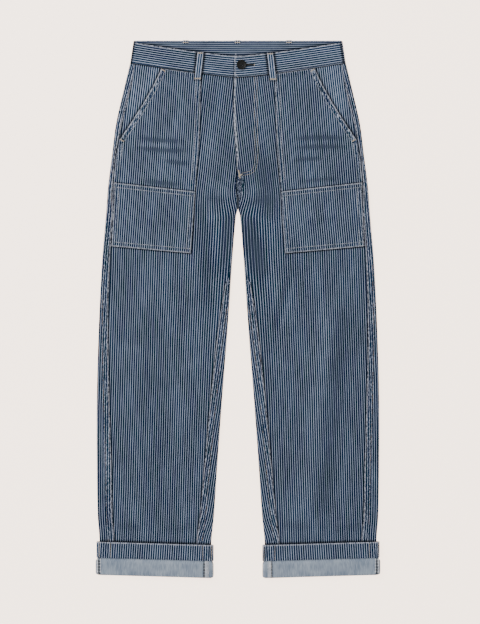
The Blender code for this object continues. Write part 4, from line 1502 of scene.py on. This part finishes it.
@dataclass
class Waistband:
    """One strip: front left, round the left fold, the back, the right fold, front right."""

    finishes: Finishes
    thickness: float = 0.0026
    flare: float = 0.0059  # added half width at the bottom edge
    top_z: float = 0.0086
    rise: float = 0.0018
    sink: float = 0.0011
    rise_x: tuple[float, float] = (0.0750, 0.0300)
    sink_x: tuple[float, float] = (-0.0500, -0.0100)
    underlap_x: float = 0.0300
    fly_x: float = -0.0066
    corner_wear: float = 0.0042
    crown: float = 0.0005
    crease_in: tuple[float, float] = (0.0018, 0.0040)  # from the outline, left and right
    pitch_scale: float = 1.02  # stripes lie a little closer here than on the leg
    inside_scale: float = 1.108  # and closer still inside
    inside_shift: float = 0.0008
    wear_and_shade: float = 0.17
    inside_fade: float = 0.10
    front_z: float = 0.0065  # whatever is higher than this is on the front
    step: float = 0.0020
    down_spans: int = 26
    arc_spans: int = 12

    def top(self, x: Array, lapped: bool) -> Array:
        """Top of the front waistband: the lapped end rises over the end under it."""
        if lapped:
            return self.top_z + self.rise * ease(x, *self.rise_x)
        return self.top_z - self.sink * ease(x, *self.sink_x)

    def surface(self, x: Array, down: Array, lapped: bool) -> Array:
        """Points x, y, z on the front waistband, a share down from its top edge."""
        x, down = np.broadcast_arrays(np.asarray(x, float), np.asarray(down, float))
        y = LAY.waist_side_y - LAY.dip(x) - LAY.band_height * down
        z = self.top(x, lapped) + self.crown * (np.sin(math.pi * down) - 1)
        return np.stack([x, y, z], axis=-1)

    def strip(self) -> tuple[Array, Array]:
        """The strip's points, rows down and columns along, and the distance along it."""
        radius = (self.top_z - LAY.loop_lift) / 2
        down = np.linspace(0, 1, self.down_spans + 1)[:, None]
        fold = LAY.waist_half + self.flare * down - radius
        count = round(LAY.waist_half / self.step)
        t = np.linspace(0, 1, count, endpoint=False)[None]
        turn = np.linspace(0, math.pi, self.arc_spans + 1)[None]
        left = self.surface(mix(self.underlap_x, -fold, t), down, False)
        right = self.surface(mix(self.fly_x, fold, t), down, True)[:, ::-1]
        runs = [left, self.fold(-1, fold, radius, turn, down)]
        back_x = mix(-fold, fold, np.linspace(0, 1, 2 * count)[None, 1:-1])
        back_y = np.broadcast_to(LAY.waist_back_y - LAY.band_height * down, back_x.shape)
        runs.append(np.stack([back_x, back_y, np.full(back_x.shape, LAY.loop_lift)], axis=-1))
        runs += [self.fold(1, fold, radius, math.pi - turn, down), right]
        points = np.concatenate(runs, axis=1)
        middle = points[self.down_spans // 2]
        steps = np.linalg.norm(np.diff(middle, axis=0), axis=1)
        return points, np.concatenate([[0.0], np.cumsum(steps)])

    def fold(self, side: int, fold: Array, radius: float, turn: Array, down: Array) -> Array:
        """The strip's points round a side fold.

        Args:
            side: which fold.
            fold: where it begins to turn, at each share down.
            radius: of the turn.
            turn: the angles round it.
            down: shares down from the top edge.

        Returns:
            The points.
        """
        x = side * (fold + radius * np.sin(turn))
        y = mix(LAY.waist_side_y, LAY.waist_back_y, (1 - np.cos(turn)) / 2)
        y = y - LAY.band_height * down
        z = LAY.loop_lift + radius * (1 + np.cos(turn)) + 0 * down
        pinch = self.crown * (np.sin(math.pi * down) - 1) * (1 + np.cos(turn)) / 2
        return np.stack([x, y, z + pinch], axis=-1)

    def build(self) -> None:
        """The strip of cloth."""
        points, along = self.strip()
        down = np.linspace(0, 1, self.down_spans + 1)[:, None]
        across = np.broadcast_to(down * LAY.band_height, points.shape[:2])
        inside = ease(points[..., 2], self.front_z, 0.0040)
        stripes = across * mix(self.pitch_scale, self.inside_scale, inside)
        stripes = stripes + self.inside_shift * inside
        pattern = np.stack([stripes, np.broadcast_to(along, across.shape)], axis=-1)
        edge = np.minimum(across, LAY.band_height - across + 0.0014)
        edge = np.minimum(edge, np.minimum(along, along[-1] - along)[None])
        x, y, z = points[..., 0], points[..., 1], points[..., 2]
        on_front = z > self.front_z
        # painted shade with unwashed dye beside the front loops, under the lapped end, and on the
        # inside band below the front's top edge
        groove_dye_and_shade = np.full(x.shape, FAR)
        for line in BeltLoops.plans():
            beside = THICK_STEP * distance_to(x, y, line) - 0.0006
            groove_dye_and_shade = np.minimum(groove_dye_and_shade, beside + (~on_front) * FAR)
        lap_y = np.array([LAY.waist_side_y - LAY.dip(self.fly_x), LAY.band_foot(self.fly_x)])
        lap = np.stack([np.full(2, self.fly_x), lap_y], axis=1)
        for corner in lap:
            worn = np.hypot(x - corner[0], y - corner[1]) - self.corner_wear
            edge = np.where(x >= self.fly_x, np.minimum(edge, worn), edge)
        under = (x < self.fly_x) & on_front
        groove_dye_and_shade = np.where(under, np.minimum(groove_dye_and_shade, distance_to(x, y, lap)), groove_dye_and_shade)
        front_top = LAY.waist_side_y - LAY.dip(x)
        shows = ~on_front & (y < LAY.waist_side_y)
        groove_dye_and_shade = np.where(shows, np.minimum(groove_dye_and_shade, np.abs(y - front_top) * THICK_STEP), groove_dye_and_shade)
        # the cloth turns under at each side with a crease on its upper face, painted dark as shade
        half = LAY.waist_half + self.flare * down
        crease = half - np.where(x < 0, self.crease_in[0], self.crease_in[1])
        groove_dye_and_shade = np.where(on_front, np.minimum(groove_dye_and_shade, np.abs(np.abs(x) - crease)), groove_dye_and_shade)
        # the inside band is painted fully dark as shade where it turns at each side
        groove_dye_and_shade = np.where(~on_front & (np.abs(x) > half - 0.004), 0.0, groove_dye_and_shade)
        sheet = Sheet(
            "waistband", points, pattern,
            {WEAR_AND_SHADE: np.where(shows, self.inside_fade, self.wear_and_shade), EDGE: edge, GROOVE_DYE_AND_SHADE: groove_dye_and_shade},
            (self.finishes.denim,), thickness=self.thickness, flip=True, rounding=0.0008,
        )
        piece = sheet.build()

    def sew(self) -> None:
        """Edge stitching along both edges and across the lapped end."""
        needle = Needle("stitching_waistband", self.finishes.ecru, width=0.0005)
        margin = 0.0022 / LAY.band_height
        for down in (margin, 1 - margin):
            right = np.linspace(self.fly_x + 0.002, LAY.waist_half - 0.002, 90)
            needle.row(self.surface(right, down, True))
            left = np.linspace(self.fly_x - 0.001, -LAY.waist_half + 0.002, 90)
            needle.row(self.surface(left, down, False))
        end = np.linspace(margin, 1 - margin, 14)
        needle.row(self.surface(np.full(14, self.fly_x + 0.0022), end, True))
        needle.finish()


@dataclass
class BeltLoops:
    """Five narrow straps: two over the front of the waistband, three under the back."""

    finishes: Finishes
    band: Waistband
    cloth: float = 0.0015
    width: float = 0.0115
    length: float = 0.0520
    stand: float = 0.0008
    back_cloth: float = 0.0010
    back_stand: float = 0.0010
    drop: tuple[float, float] = (0.0010, -0.0070)
    wear_and_shade: float = 0.36
    tuck: float = 0.0045
    across_spans: int = 6

    FRONT = {"left": (-0.0709, -0.0058), "right": (0.0608, 0.0060)}  # top x, lean
    BACK = {"left": -0.0992, "centre": -0.0010, "right": 0.0967}

    @classmethod
    def plans(cls) -> list[Array]:
        """Plan polylines of both long edges of each front loop."""
        found = []
        for top_x, lean in cls.FRONT.values():
            top_y = LAY.waist_side_y - float(LAY.dip(top_x))
            for half in (-cls.width / 2, cls.width / 2):
                ends = ((top_x + half, top_y), (top_x + lean + half, top_y - cls.length))
                found.append(np.array(ends))
        return found

    def middle(self, word: str, t: Array) -> Array:
        """Points down the middle of a front loop's top surface.

        Args:
            word: "left" or "right".
            t: shares of its length.

        Returns:
            The points.
        """
        top_x, lean = self.FRONT[word]
        top_y = LAY.waist_side_y - float(LAY.dip(top_x))
        foot_y = top_y - LAY.band_height
        x, y = top_x + lean * t, top_y - self.length * t
        below = LAY.on_front(x, y, 1)[:, 2]
        off_band = ease(y, foot_y + self.drop[0], foot_y + self.drop[1])
        z = mix(self.band.top(x, top_x > 0), below, off_band) + self.stand + self.cloth
        return np.stack([x, y, z], axis=1)

    def cross(self, path: Array, name: str, flip: bool, cloth: float, hidden: float) -> None:
        """Spread a path to the loop's width and build it.

        Args:
            path: points along the middle of its outer face.
            name: the solid that it stands for.
            flip: whether the path runs the other way round.
            cloth: its thickness.
            hidden: how much of its edges' wear is hidden.
        """
        t = np.linspace(-1, 1, self.across_spans + 1)[None]
        points = np.repeat(path[:, None], self.across_spans + 1, axis=1)
        points[..., 0] += t * self.width / 2
        steps = np.linalg.norm(np.diff(path, axis=0), axis=1)
        along = np.concatenate([[0.0], np.cumsum(steps)])[:, None]
        across = np.broadcast_to(t * self.width / 2, points.shape[:2])
        pattern = np.stack([across + 0.002, np.broadcast_to(along, across.shape)], axis=-1)
        edge = self.width / 2 - np.abs(across) + hidden
        sheet = Sheet(
            name, points, pattern,
            {WEAR_AND_SHADE: np.full(edge.shape, self.wear_and_shade), EDGE: edge},
            (self.finishes.denim,), thickness=cloth, flip=flip,
        )
        piece = sheet.build()

    def build(self) -> None:
        """All five loops and their bar tacks."""
        needle = Needle("bar_tacks_loops", self.finishes.cream)
        for word in self.FRONT:
            path = self.middle(word, np.linspace(0, 1, 26))
            name = f"belt_loop_front_{word}"
            self.cross(path, name, False, self.cloth, 0.0003)
            half = np.array([self.width / 2 - 0.0006, 0.0, 0.0])
            for at, reach, tall in ((0.035, 1.0, 0.0024), (0.955, 1.15, 0.0036)):
                centre = self.middle(word, np.array([at]))[0]
                needle.tack(centre - half * reach, centre + half * reach, tall)
        radius = (self.band.thickness + 2 * LAY.gap + 2 * self.back_cloth) / 2
        turn_y = LAY.waist_back_y + self.back_stand - radius
        for word, x in self.BACK.items():
            path = [(x, turn_y - self.tuck * t, 2 * radius) for t in (1.0, 0.66, 0.33)]
            for angle in np.linspace(0, math.pi, 13):
                path.append((x, turn_y + radius * math.sin(angle), radius * (1 + math.cos(angle))))
            low = np.linspace(0, self.tuck - self.length, 16)[1:]
            path += [(x, turn_y + y, 0.0) for y in low]
            name = f"belt_loop_back_{word}"
            self.cross(np.array(path), name, True, self.back_cloth, 0.0014)
            half = np.array([self.width / 2 - 0.0008, 0.0, 0.0])
            centre = np.array([x, turn_y - self.tuck * 0.45, 2 * radius])
            needle.tack(centre - half, centre + half, 0.0024)
        needle.finish()


@dataclass
class WaistButton:
    """A turned four-hole button, sewn on with dark thread, in a keyhole buttonhole."""

    finishes: Finishes
    band: Waistband
    x: float = 0.0066
    y: float = 0.4631
    radius: float = 0.0092
    thickness: float = 0.0031
    rim: float = 0.0016
    dish: float = 0.0011
    hole_radius: float = 0.0009
    hole_spacing: float = 0.0032
    slit_start: float = 0.0172
    slit_end: float = 0.0300
    slit_width: float = 0.0024

    @property
    def low(self) -> float:
        """Height of the button's underside."""
        return float(self.band.top(np.array([self.x]), True)[0]) + LAY.gap

    def build(self) -> None:
        """Turn the button from a cylinder: dish it, round its rim and drill its holes."""
        bpy.ops.object.select_all(action="DESELECT")
        bpy.ops.mesh.primitive_cylinder_add(
            vertices=56, radius=self.radius, depth=self.thickness,
            location=(self.x, self.y, self.low + self.thickness / 2),
        )
        button = bpy.context.object
        button.name = button.data.name = "waist_button_turned"
        bpy.ops.object.transform_apply(location=True, rotation=False, scale=False)
        bpy.ops.object.mode_set(mode="EDIT")
        bpy.ops.mesh.select_all(action="DESELECT")
        shape = bmesh.from_edit_mesh(button.data)
        for face in shape.faces:
            face.select = face.normal.z > 0.9
        bmesh.update_edit_mesh(button.data)
        bpy.ops.mesh.inset(thickness=self.rim)
        bpy.ops.mesh.inset(thickness=self.rim * 0.7)
        bpy.ops.transform.translate(value=(0.0, 0.0, -self.dish))
        bpy.ops.object.mode_set(mode="OBJECT")
        round_rim = button.modifiers.new("rim", "BEVEL")
        round_rim.width = 0.0006
        round_rim.segments = 4
        round_rim.limit_method = "ANGLE"
        round_rim.angle_limit = math.radians(25)
        bpy.ops.object.modifier_apply(modifier=round_rim.name)
        self.drill(button)
        only(button)
        bpy.ops.object.shade_smooth_by_angle(angle=math.radians(40))
        button.data.materials.append(self.finishes.resin)
        settle(button, Slot.BUTTON, "waist_button")

    def holes(self) -> list[tuple[float, float]]:
        """Plan places of the four holes."""
        reach = self.hole_spacing / 2
        return [(self.x + a * reach, self.y + b * reach) for a in (-1, 1) for b in (-1, 1)]

    def drill(self, button: bpy.types.Object) -> None:
        """Cut the four holes through the button."""
        for x, y in self.holes():
            bpy.ops.object.select_all(action="DESELECT")
            bpy.ops.mesh.primitive_cylinder_add(
                vertices=16, radius=self.hole_radius, depth=4 * self.thickness,
                location=(x, y, self.low),
            )
            drill = bpy.context.object
            only(button)
            cut = button.modifiers.new("hole", "BOOLEAN")
            cut.operation = "DIFFERENCE"
            cut.solver = "EXACT"
            cut.object = drill
            bpy.ops.object.modifier_apply(modifier=cut.name)
            mesh = drill.data
            bpy.data.objects.remove(drill)
            bpy.data.meshes.remove(mesh)

    def sew(self) -> None:
        """The thread through the button's holes, and the buttonhole's worked edge."""
        floor_z = self.low + self.thickness - self.dish
        needle = Needle("button_shank_thread", self.finishes.black, height=0.0009)
        reach = self.hole_spacing / 2
        length = np.array([self.hole_spacing * 1.25])
        for a in (-1, 1):
            for shift in (-0.0004, 0.0, 0.0004):
                middle = np.array([[self.x + a * reach + shift, self.y, floor_z + 0.0002]])
                along = np.array([[0.05 * a, 1.0, 0.0]])
                needle.stitch(middle, along, length, 0.00055)
        needle.finish()
        self.work_buttonhole()

    def work_buttonhole(self) -> None:
        """Close near-black purl stitches round and over the slit, for its thread and the painted
        shade of its opening, and the bar tack that ends it.
        """
        needle = Needle("buttonhole_worked", self.finishes.black, height=0.0007)
        x = np.arange(self.slit_start - 0.008, self.slit_end, 0.0006)
        # the middle row lies on the slit itself: painted shade of its opening
        for side in (-1, 0, 1):
            y = self.y + side * self.slit_width / 2 * np.linspace(1.7, 0.6, len(x))
            down = (LAY.waist_side_y - LAY.dip(x) - y) / LAY.band_height
            at = self.band.surface(x, down, True)
            across = np.broadcast_to([0.0, 1.0, 0.0], at.shape)
            needle.stitch(at, across, np.full(len(x), 0.0022), 0.0011)
        needle.finish()
        tack = Needle("buttonhole_tack", self.finishes.cream)
        down = (LAY.waist_side_y - LAY.dip(self.slit_end) - self.y) / LAY.band_height
        centre = self.band.surface(np.array([self.slit_end + 0.0012]), down, True)[0]
        reach = np.array([0.0, 0.0016, 0.0])
        tack.tack(centre - reach, centre + reach, 0.0022)
        tack.finish()


# ---------------------------------------------------------------- turn-ups


@dataclass
class TurnUps:
    """The legs turned up once: wrong side out, with the stitched hem allowance on top."""

    finishes: Finishes
    hem_band: float = 0.0300
    inner: float = LAY.turn_up_inner
    outer: float = 0.2700
    band_outer: float = 0.2684
    nose: float = 0.0024
    corner: float = 0.0045  # rounding of the bottom corners in plan
    step: float = 0.0060
    step_gap: float = 0.0010
    roll: float = 0.0011  # of the hem band's top fold
    inside_top: float = 0.0054  # how far up inside the leg the cloth goes
    front_z: float = 0.0060  # whatever is higher than this is on the front
    across_points: int = 69
    arc_spans: int = 12
    band_seams: dict[int, tuple[float, ...]] = field(
        default_factory=lambda: {
            -1: (0.0500, 0.0665, 0.2417, 0.2626),
            1: (0.0490, 0.0700, 0.2490, 0.2665),
        }
    )
    seam_rows: dict[int, tuple[float, ...]] = field(
        default_factory=lambda: {-1: (0.0642, 0.2630), 1: (0.0637, 0.2628)}
    )
    rim: float = 0.0026  # from a seam to the pale thread beside it
    overlock: dict[int, float] = field(default_factory=lambda: {-1: 0.0591, 1: 0.0598})
    band_beads: float = 0.14
    fold_wear: float = 0.0008
    band_fade: float = 0.13
    pitch_scale: float = 0.97  # stripes lie a little wider here than on the leg
    lean: float = 3.2

    def ring(
        self, side: int, inner: float, outer: float, low: float, level: float, up: float
    ) -> tuple[Array, Array]:
        """Points once round a leg.

        Args:
            side: which leg.
            inner: the distance of its inner fold from the centre line.
            outer: and of its outer fold.
            low: height of the cloth under the leg.
            level: how many layers it lies above the front.
            up: how far up from the hem.

        Returns:
            The points, and each one's way round.
        """

        def top(w: Array) -> Array:
            """Height of the cloth on top of the leg."""
            return LAY.front(side, w, LAY.hem_y(w) + LAY.turn_up) + level * LAY.layer

        outer_radius = float(top(np.array(outer)) - low) / 2
        inner_radius = float(top(np.array(inner)) - low) / 2
        start, end = outer - outer_radius, inner + inner_radius
        across = np.linspace(start, end, self.across_points)
        turn = np.linspace(0, math.pi, self.arc_spans + 1)[1:-1]
        w = [across, end - inner_radius * np.sin(turn), across[::-1]]
        w.append(start + outer_radius * np.sin(turn[::-1]))
        z = [top(across), low + inner_radius * (1 + np.cos(turn)), np.full(len(across), low)]
        z.append(low + outer_radius * (1 + np.cos(turn[::-1])))
        w, z = np.concatenate(w), np.concatenate(z)
        w, z = np.append(w, w[0]), np.append(z, z[0])
        points = np.stack([side * w, LAY.hem_y(w) + up, z], axis=-1)
        steps = np.hypot(np.diff(w), np.diff(z))
        return points, np.concatenate([[0.0], np.cumsum(steps)])

    def wrap(self, name: str, side: int, sections: list, finishes: tuple, edge_up: tuple) -> Sheet:
        """A ring of cloth through sections given from the top of the turn-up down.

        Args:
            name: the solid that it stands for.
            side: which leg.
            sections: (up from the hem, inner, outer, low, level) for each ring of points.
            finishes: outside and inside materials.
            edge_up: heights up from the hem of the folded edges that wear pale.

        Returns:
            The sheet, not yet built.
        """
        rings, ways = [], []
        for up, inner, outer, low, level in sections:
            points, way = self.ring(side, inner, outer, low, level, up)
            rings.append(points)
            ways.append(way)
        points, way = np.array(rings), np.array(ways)
        up = np.array([s[0] for s in sections])[:, None]
        across = way * self.pitch_scale - math.tan(math.radians(self.lean)) * up
        depth = np.concatenate(
            [[0.0], np.cumsum(np.linalg.norm(np.diff(points[:, 5], axis=0), axis=1))]
        )
        pattern = np.stack([across, np.broadcast_to(-depth[:, None], across.shape)], axis=-1)
        edge = np.full(across.shape, FAR)
        for value in edge_up:
            edge = np.minimum(edge, np.abs(up - value) - self.fold_wear)
        z = points[..., 2]
        low, high = z.min(axis=1, keepdims=True), z.max(axis=1, keepdims=True)
        # painted shade: the ring's lower sides and underside are fully dark
        groove_dye_and_shade = np.where((z - low) / (high - low) < FOLD_SIDE, 0.0, FAR)
        return Sheet(
            name, points, pattern, {EDGE: edge, GROOVE_DYE_AND_SHADE: groove_dye_and_shade}, finishes, flip=side > 0,
            closed=True,
        )

    def turn_up(self, word: str) -> None:
        """The wrong side, from under the hem band down and round the bottom fold."""
        side = SIDES[word]
        step_top = LAY.turn_up - self.hem_band - self.step_gap
        layer = LAY.layer
        tucked = (self.inner + layer, self.band_outer - layer, layer, 2)
        full = (self.inner, self.outer, 0.0, 3)

        def cornered(up: float, section: tuple) -> tuple:
            """A section drawn in near the bottom, to round its corners."""
            short = max(self.corner - up, 0.0)
            drawn = self.corner - math.sqrt(self.corner**2 - short**2)
            inner, outer, low, level = section
            return (up, inner + drawn, outer - drawn, low, level)

        sections = [(up, *tucked) for up in spaced(((LAY.turn_up - layer, 0.004), (step_top, 0)))]
        for t in np.linspace(0, 1, 5)[1:]:
            blend = float(ease(t, 0, 1))
            up = step_top - self.step * t
            sections.append((up, *[mix(a, b, blend) for a, b in zip(tucked, full)]))
        for up in spaced(((step_top - self.step, 0.003), (self.nose, 0.0)))[1:]:
            sections.append(cornered(up, full))
        end_y = LAY.hem_inner_y
        inside = (float(LAY.leg("inner", end_y)), float(LAY.leg("outer", end_y)), 2 * layer, 0)
        for angle in np.linspace(0, math.pi, 11)[1:]:
            share = (1 - math.cos(angle)) / 2
            up = self.nose * (1 - math.sin(angle))
            sections.append(cornered(up, [mix(a, b, share) for a, b in zip(full, inside)]))
        sections.append((self.inside_top, *inside))
        sheet = self.wrap(
            f"turn_up_{word}", side, sections,
            (self.finishes.wrong_side, self.finishes.denim), (),
        )
        w, on_top = np.abs(sheet.points[..., 0]), sheet.points[..., 2] > self.front_z
        # painted shade with unwashed dye along the leg seams across the turn-up's top
        groove_dye_and_shade = sheet.attributes[GROOVE_DYE_AND_SHADE]
        for seam in self.seam_rows[side]:
            groove_dye_and_shade = np.where(on_top, np.minimum(groove_dye_and_shade, np.abs(w - seam)), groove_dye_and_shade)
        sheet.attributes[GROOVE_DYE_AND_SHADE] = groove_dye_and_shade
        sheet.slot = Slot.WRONG_SIDE
        piece = sheet.build()

    def band(self, word: str) -> None:
        """The hem allowance, right side out, from the top fold down to its stitched edge."""
        side = SIDES[word]
        layer = LAY.layer
        sections = []
        for angle in np.linspace(math.pi * 0.42, 0, 5):
            drop = self.roll * (1 - math.cos(angle))
            level = 3 - 0.55 * (1 - math.cos(angle))
            up = LAY.turn_up - self.roll * (1 - math.sin(angle))
            low = (3 - level) * layer
            sections.append((up, self.inner + drop, self.band_outer - drop, low, level))
        foot = LAY.turn_up - self.hem_band
        for up in spaced(((sections[-1][0] - 0.0015, 0.0026), (foot, 0))):
            sections.append((up, self.inner, self.band_outer, 0.0, 3))
        sheet = self.wrap(
            f"hem_band_{word}", side, sections,
            (self.finishes.denim, self.finishes.wrong_side), (LAY.turn_up,),
        )
        w = np.abs(sheet.points[..., 0])
        on_top = sheet.points[..., 2] > self.front_z
        seams = self.band_seams[side]
        for first, last in (seams[:2], seams[2:]):
            inside = ease(np.abs(w - (first + last) / 2), (last - first) / 2, 0.006)
            inside = inside * on_top * self.band_beads
            sheet.attributes[BEADS] = np.maximum(sheet.attributes.get(BEADS, 0.0), inside)
        sheet.attributes[WEAR_AND_SHADE] = np.full(w.shape, self.band_fade)
        piece = sheet.build()

    def upright(self, side: int, w: float, foot: float, head: float, dips: bool = True) -> Array:
        """A line of points up the turn-up's face at one distance from the centre line.

        Args:
            side: which leg.
            w: the distance.
            foot: how far up from the hem it starts.
            head: and where it ends.
            dips: whether it follows the step below the hem band.

        Returns:
            The points.
        """
        up = np.linspace(foot, head, 24)
        y = LAY.hem_y(w) + up
        z = LAY.front(side, np.full(24, w), LAY.hem_y(w) + LAY.turn_up) + 3 * LAY.layer + 0.0005
        if dips:
            step_top = LAY.turn_up - self.hem_band - self.step_gap
            z = z - LAY.layer * ease(up, step_top - self.step, step_top)
        return np.stack([np.full(24, side * w), y, z], axis=-1)

    def sew(self, word: str) -> None:
        """The row that holds the hem allowance, and the leg's seams where they cross it."""
        side = SIDES[word]
        foot = LAY.turn_up - self.hem_band
        hem = Needle(f"stitching_hem_{word}", self.finishes.navy, width=0.0006)
        points, _ = self.ring(side, self.inner, self.band_outer, 0.0, 3, foot + 0.0022)
        hem.row(points[: self.across_points])
        hem.finish()
        near, far = self.seam_rows[side]
        rim = self.rim
        for thread, start, rows in (
            (self.finishes.black, 0.0, (near, far)),
            (self.finishes.white, 0.0028, (near - rim, far + rim, far - rim)),
        ):
            name = f"stitching_turn_up_{word}_{thread.name}"
            seams = Needle(name, thread, length=0.0050, pitch=0.0056, width=0.0024)
            for w in rows:
                seams.row(self.upright(side, w, 0.0015, foot), start)
            seams.finish()
        lines = Needle(f"stitching_band_{word}", self.finishes.cream, width=0.0010)
        for w in self.band_seams[side]:
            lines.row(self.upright(side, w, foot + 0.001, LAY.turn_up - 0.001, dips=False))
        lines.finish()
        edge = Needle(f"overlock_{word}", self.finishes.white)
        line = self.upright(side, self.overlock[side], 0.0015, foot)
        for start, end in zip(line[:-1], line[1:]):
            edge.tack(start, end, 0.0085, pitch=0.0007)
        edge.finish()

    def build(self) -> None:
        """Both turn-ups."""
        for word in SIDES:
            self.turn_up(word)
            self.band(word)
            self.sew(word)


# ---------------------------------------------------------------- seams


@dataclass
class Seams:
    """Topstitching of the fly, the side seams, the inseams and the crotch seam."""

    finishes: Finishes
    edge_inset: float = 0.0016  # of the row on a felled seam's edge
    lap_inset: float = 0.0105  # and of the row through the whole lap
    full_lap: float = 0.0145  # a seam narrower than this has the edge row alone

    def fly(self) -> None:
        """The curved double row of the fly, its bar tacks and the crotch seam."""
        needle = Needle("stitching_fly", self.finishes.cream, width=0.0008)
        steps = np.linspace(0, 1, 90)
        knots = np.array(FLY_STITCHING)
        curve = Table(("t", "x", "y"), [(-t, x, y) for t, x, y in knots])
        for shift in (0.0, 0.0050):
            line = np.stack([curve.read("x", -steps), curve.read("y", -steps)], axis=1)
            line = offset(line, shift)
            needle.row(LAY.on_front(line[:, 0], line[:, 1], 0))
        for x0, y0, x1, y1 in FLY_TACKS:
            needle.tack(LAY.on_front(x0, y0, 0), LAY.on_front(x1, y1, 0), 0.0030)
        needle.finish()
        crotch = Needle("stitching_crotch", self.finishes.ecru, width=0.0005)
        line_y = np.linspace(0.244, 0.204, 20)
        for shift in (0.0022, 0.0070):
            crotch.row(LAY.on_front(FLY.read("over_x", line_y) + shift, line_y, 0))
        crotch.finish()
        joint = Needle("stitching_crotch_joint", self.finishes.navy, height=0.0008)
        ends = LAY.on_front(np.zeros(2), np.array([0.2130, 0.1905]), 0)
        joint.tack(ends[0], ends[1], 0.0060, pitch=0.0015)
        joint.finish()

    def legs(self, word: str) -> None:
        """Twin rows along the lapped side seam and inseam."""
        side = SIDES[word]
        edge_row = Needle(f"stitching_leg_{word}", self.finishes.tobacco, width=0.0006)
        lap_row = Needle(f"stitching_leg_laps_{word}", self.finishes.tobacco, width=0.0010)
        for fold, seam, inward, top_y, count in (
            ("outer", "side_lap", -1, 0.440, 260), ("inner", "inseam_lap", 1, 0.040, 150)
        ):
            y = np.linspace(top_y, -0.440, count)
            start, lap = LAY.leg(fold, y), LAY.leg(seam, y)
            for needle, inset in ((edge_row, self.edge_inset), (lap_row, self.lap_inset)):
                w = start + inward * lap - inward * inset
                keep = (needle is edge_row) | (lap > self.full_lap)
                needle.row(LAY.on_front(side * w[keep], y[keep], 1))
        edge_row.finish()
        lap_row.finish()

    def build(self) -> None:
        """All of them."""
        self.fly()
        for word in SIDES:
            self.legs(word)


# ---------------------------------------------------------------- studio


@dataclass
class Studio:
    """A wide back-lit table, soft light from above, and the camera straight overhead."""

    mm_per_pixel: float = 1.9
    image: tuple[int, int] = (480, 624)
    centre_line_x: float = 238.0  # pixel of the trousers' centre line
    middle_y: float = 309.25  # and of the middle of their length
    lens: float = 100.0
    sensor: float = 36.0
    floor_size: float = 30.0

    def floor(self) -> None:
        """The table top."""
        bpy.ops.object.select_all(action="DESELECT")
        bpy.ops.mesh.primitive_plane_add(size=self.floor_size, location=(0.0, 0.0, 0.0))
        floor = bpy.context.object
        floor.name = "floor"
        floor.data.materials.append(LitVinyl().make())

    def light(self) -> None:
        """Even light from all round, and one large softbox from the upper left."""
        world = bpy.data.worlds.new("studio")
        bpy.context.scene.world = world
        world.use_nodes = True
        background = world.node_tree.nodes["Background"]
        background.inputs["Color"].default_value = (1.0, 0.98, 0.965, 1.0)
        background.inputs["Strength"].default_value = 0.50
        bpy.ops.object.light_add(type="AREA", location=(-1.9, 1.7, 2.6), rotation=(0.0, 0.0, 0.0))
        box = bpy.context.object
        box.name = "softbox"
        box.data.shape = "RECTANGLE"
        box.data.size, box.data.size_y = 2.2, 2.2
        box.data.energy = 85.0
        away = -box.location.normalized()
        box.rotation_euler = away.to_track_quat("-Z", "Y").to_euler()

    def camera(self) -> None:
        """A long lens straight above, framed as the photograph is."""
        scale = self.mm_per_pixel / 1000
        x = (self.image[0] / 2 - self.centre_line_x) * scale
        y = (self.middle_y - self.image[1] / 2) * scale
        distance = self.image[1] * scale * self.lens / self.sensor
        bpy.ops.object.camera_add(location=(x, y, distance), rotation=(0.0, 0.0, 0.0))
        camera = bpy.context.object
        camera.data.lens = self.lens
        camera.data.sensor_width = self.sensor
        bpy.context.scene.camera = camera

    def build(self) -> None:
        """The whole set."""
        self.floor()
        self.light()
        self.camera()


def main() -> None:
    """Build every piece in order; each piece logs its number of faces."""
    logging.basicConfig(level=logging.INFO, format="%(name)s: %(message)s")
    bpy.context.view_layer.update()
    finishes = Finishes.made()
    Studio().build()
    panels = Panels(finishes)
    for word in SIDES:
        panels.back(word)
        panels.front(word)
    PatchPockets(finishes).build()
    band = Waistband(finishes)
    band.build()
    band.sew()
    BeltLoops(finishes, band).build()
    button = WaistButton(finishes, band)
    button.build()
    button.sew()
    TurnUps(finishes).build()
    Seams(finishes).build()


if __name__ == "__main__":
    main()
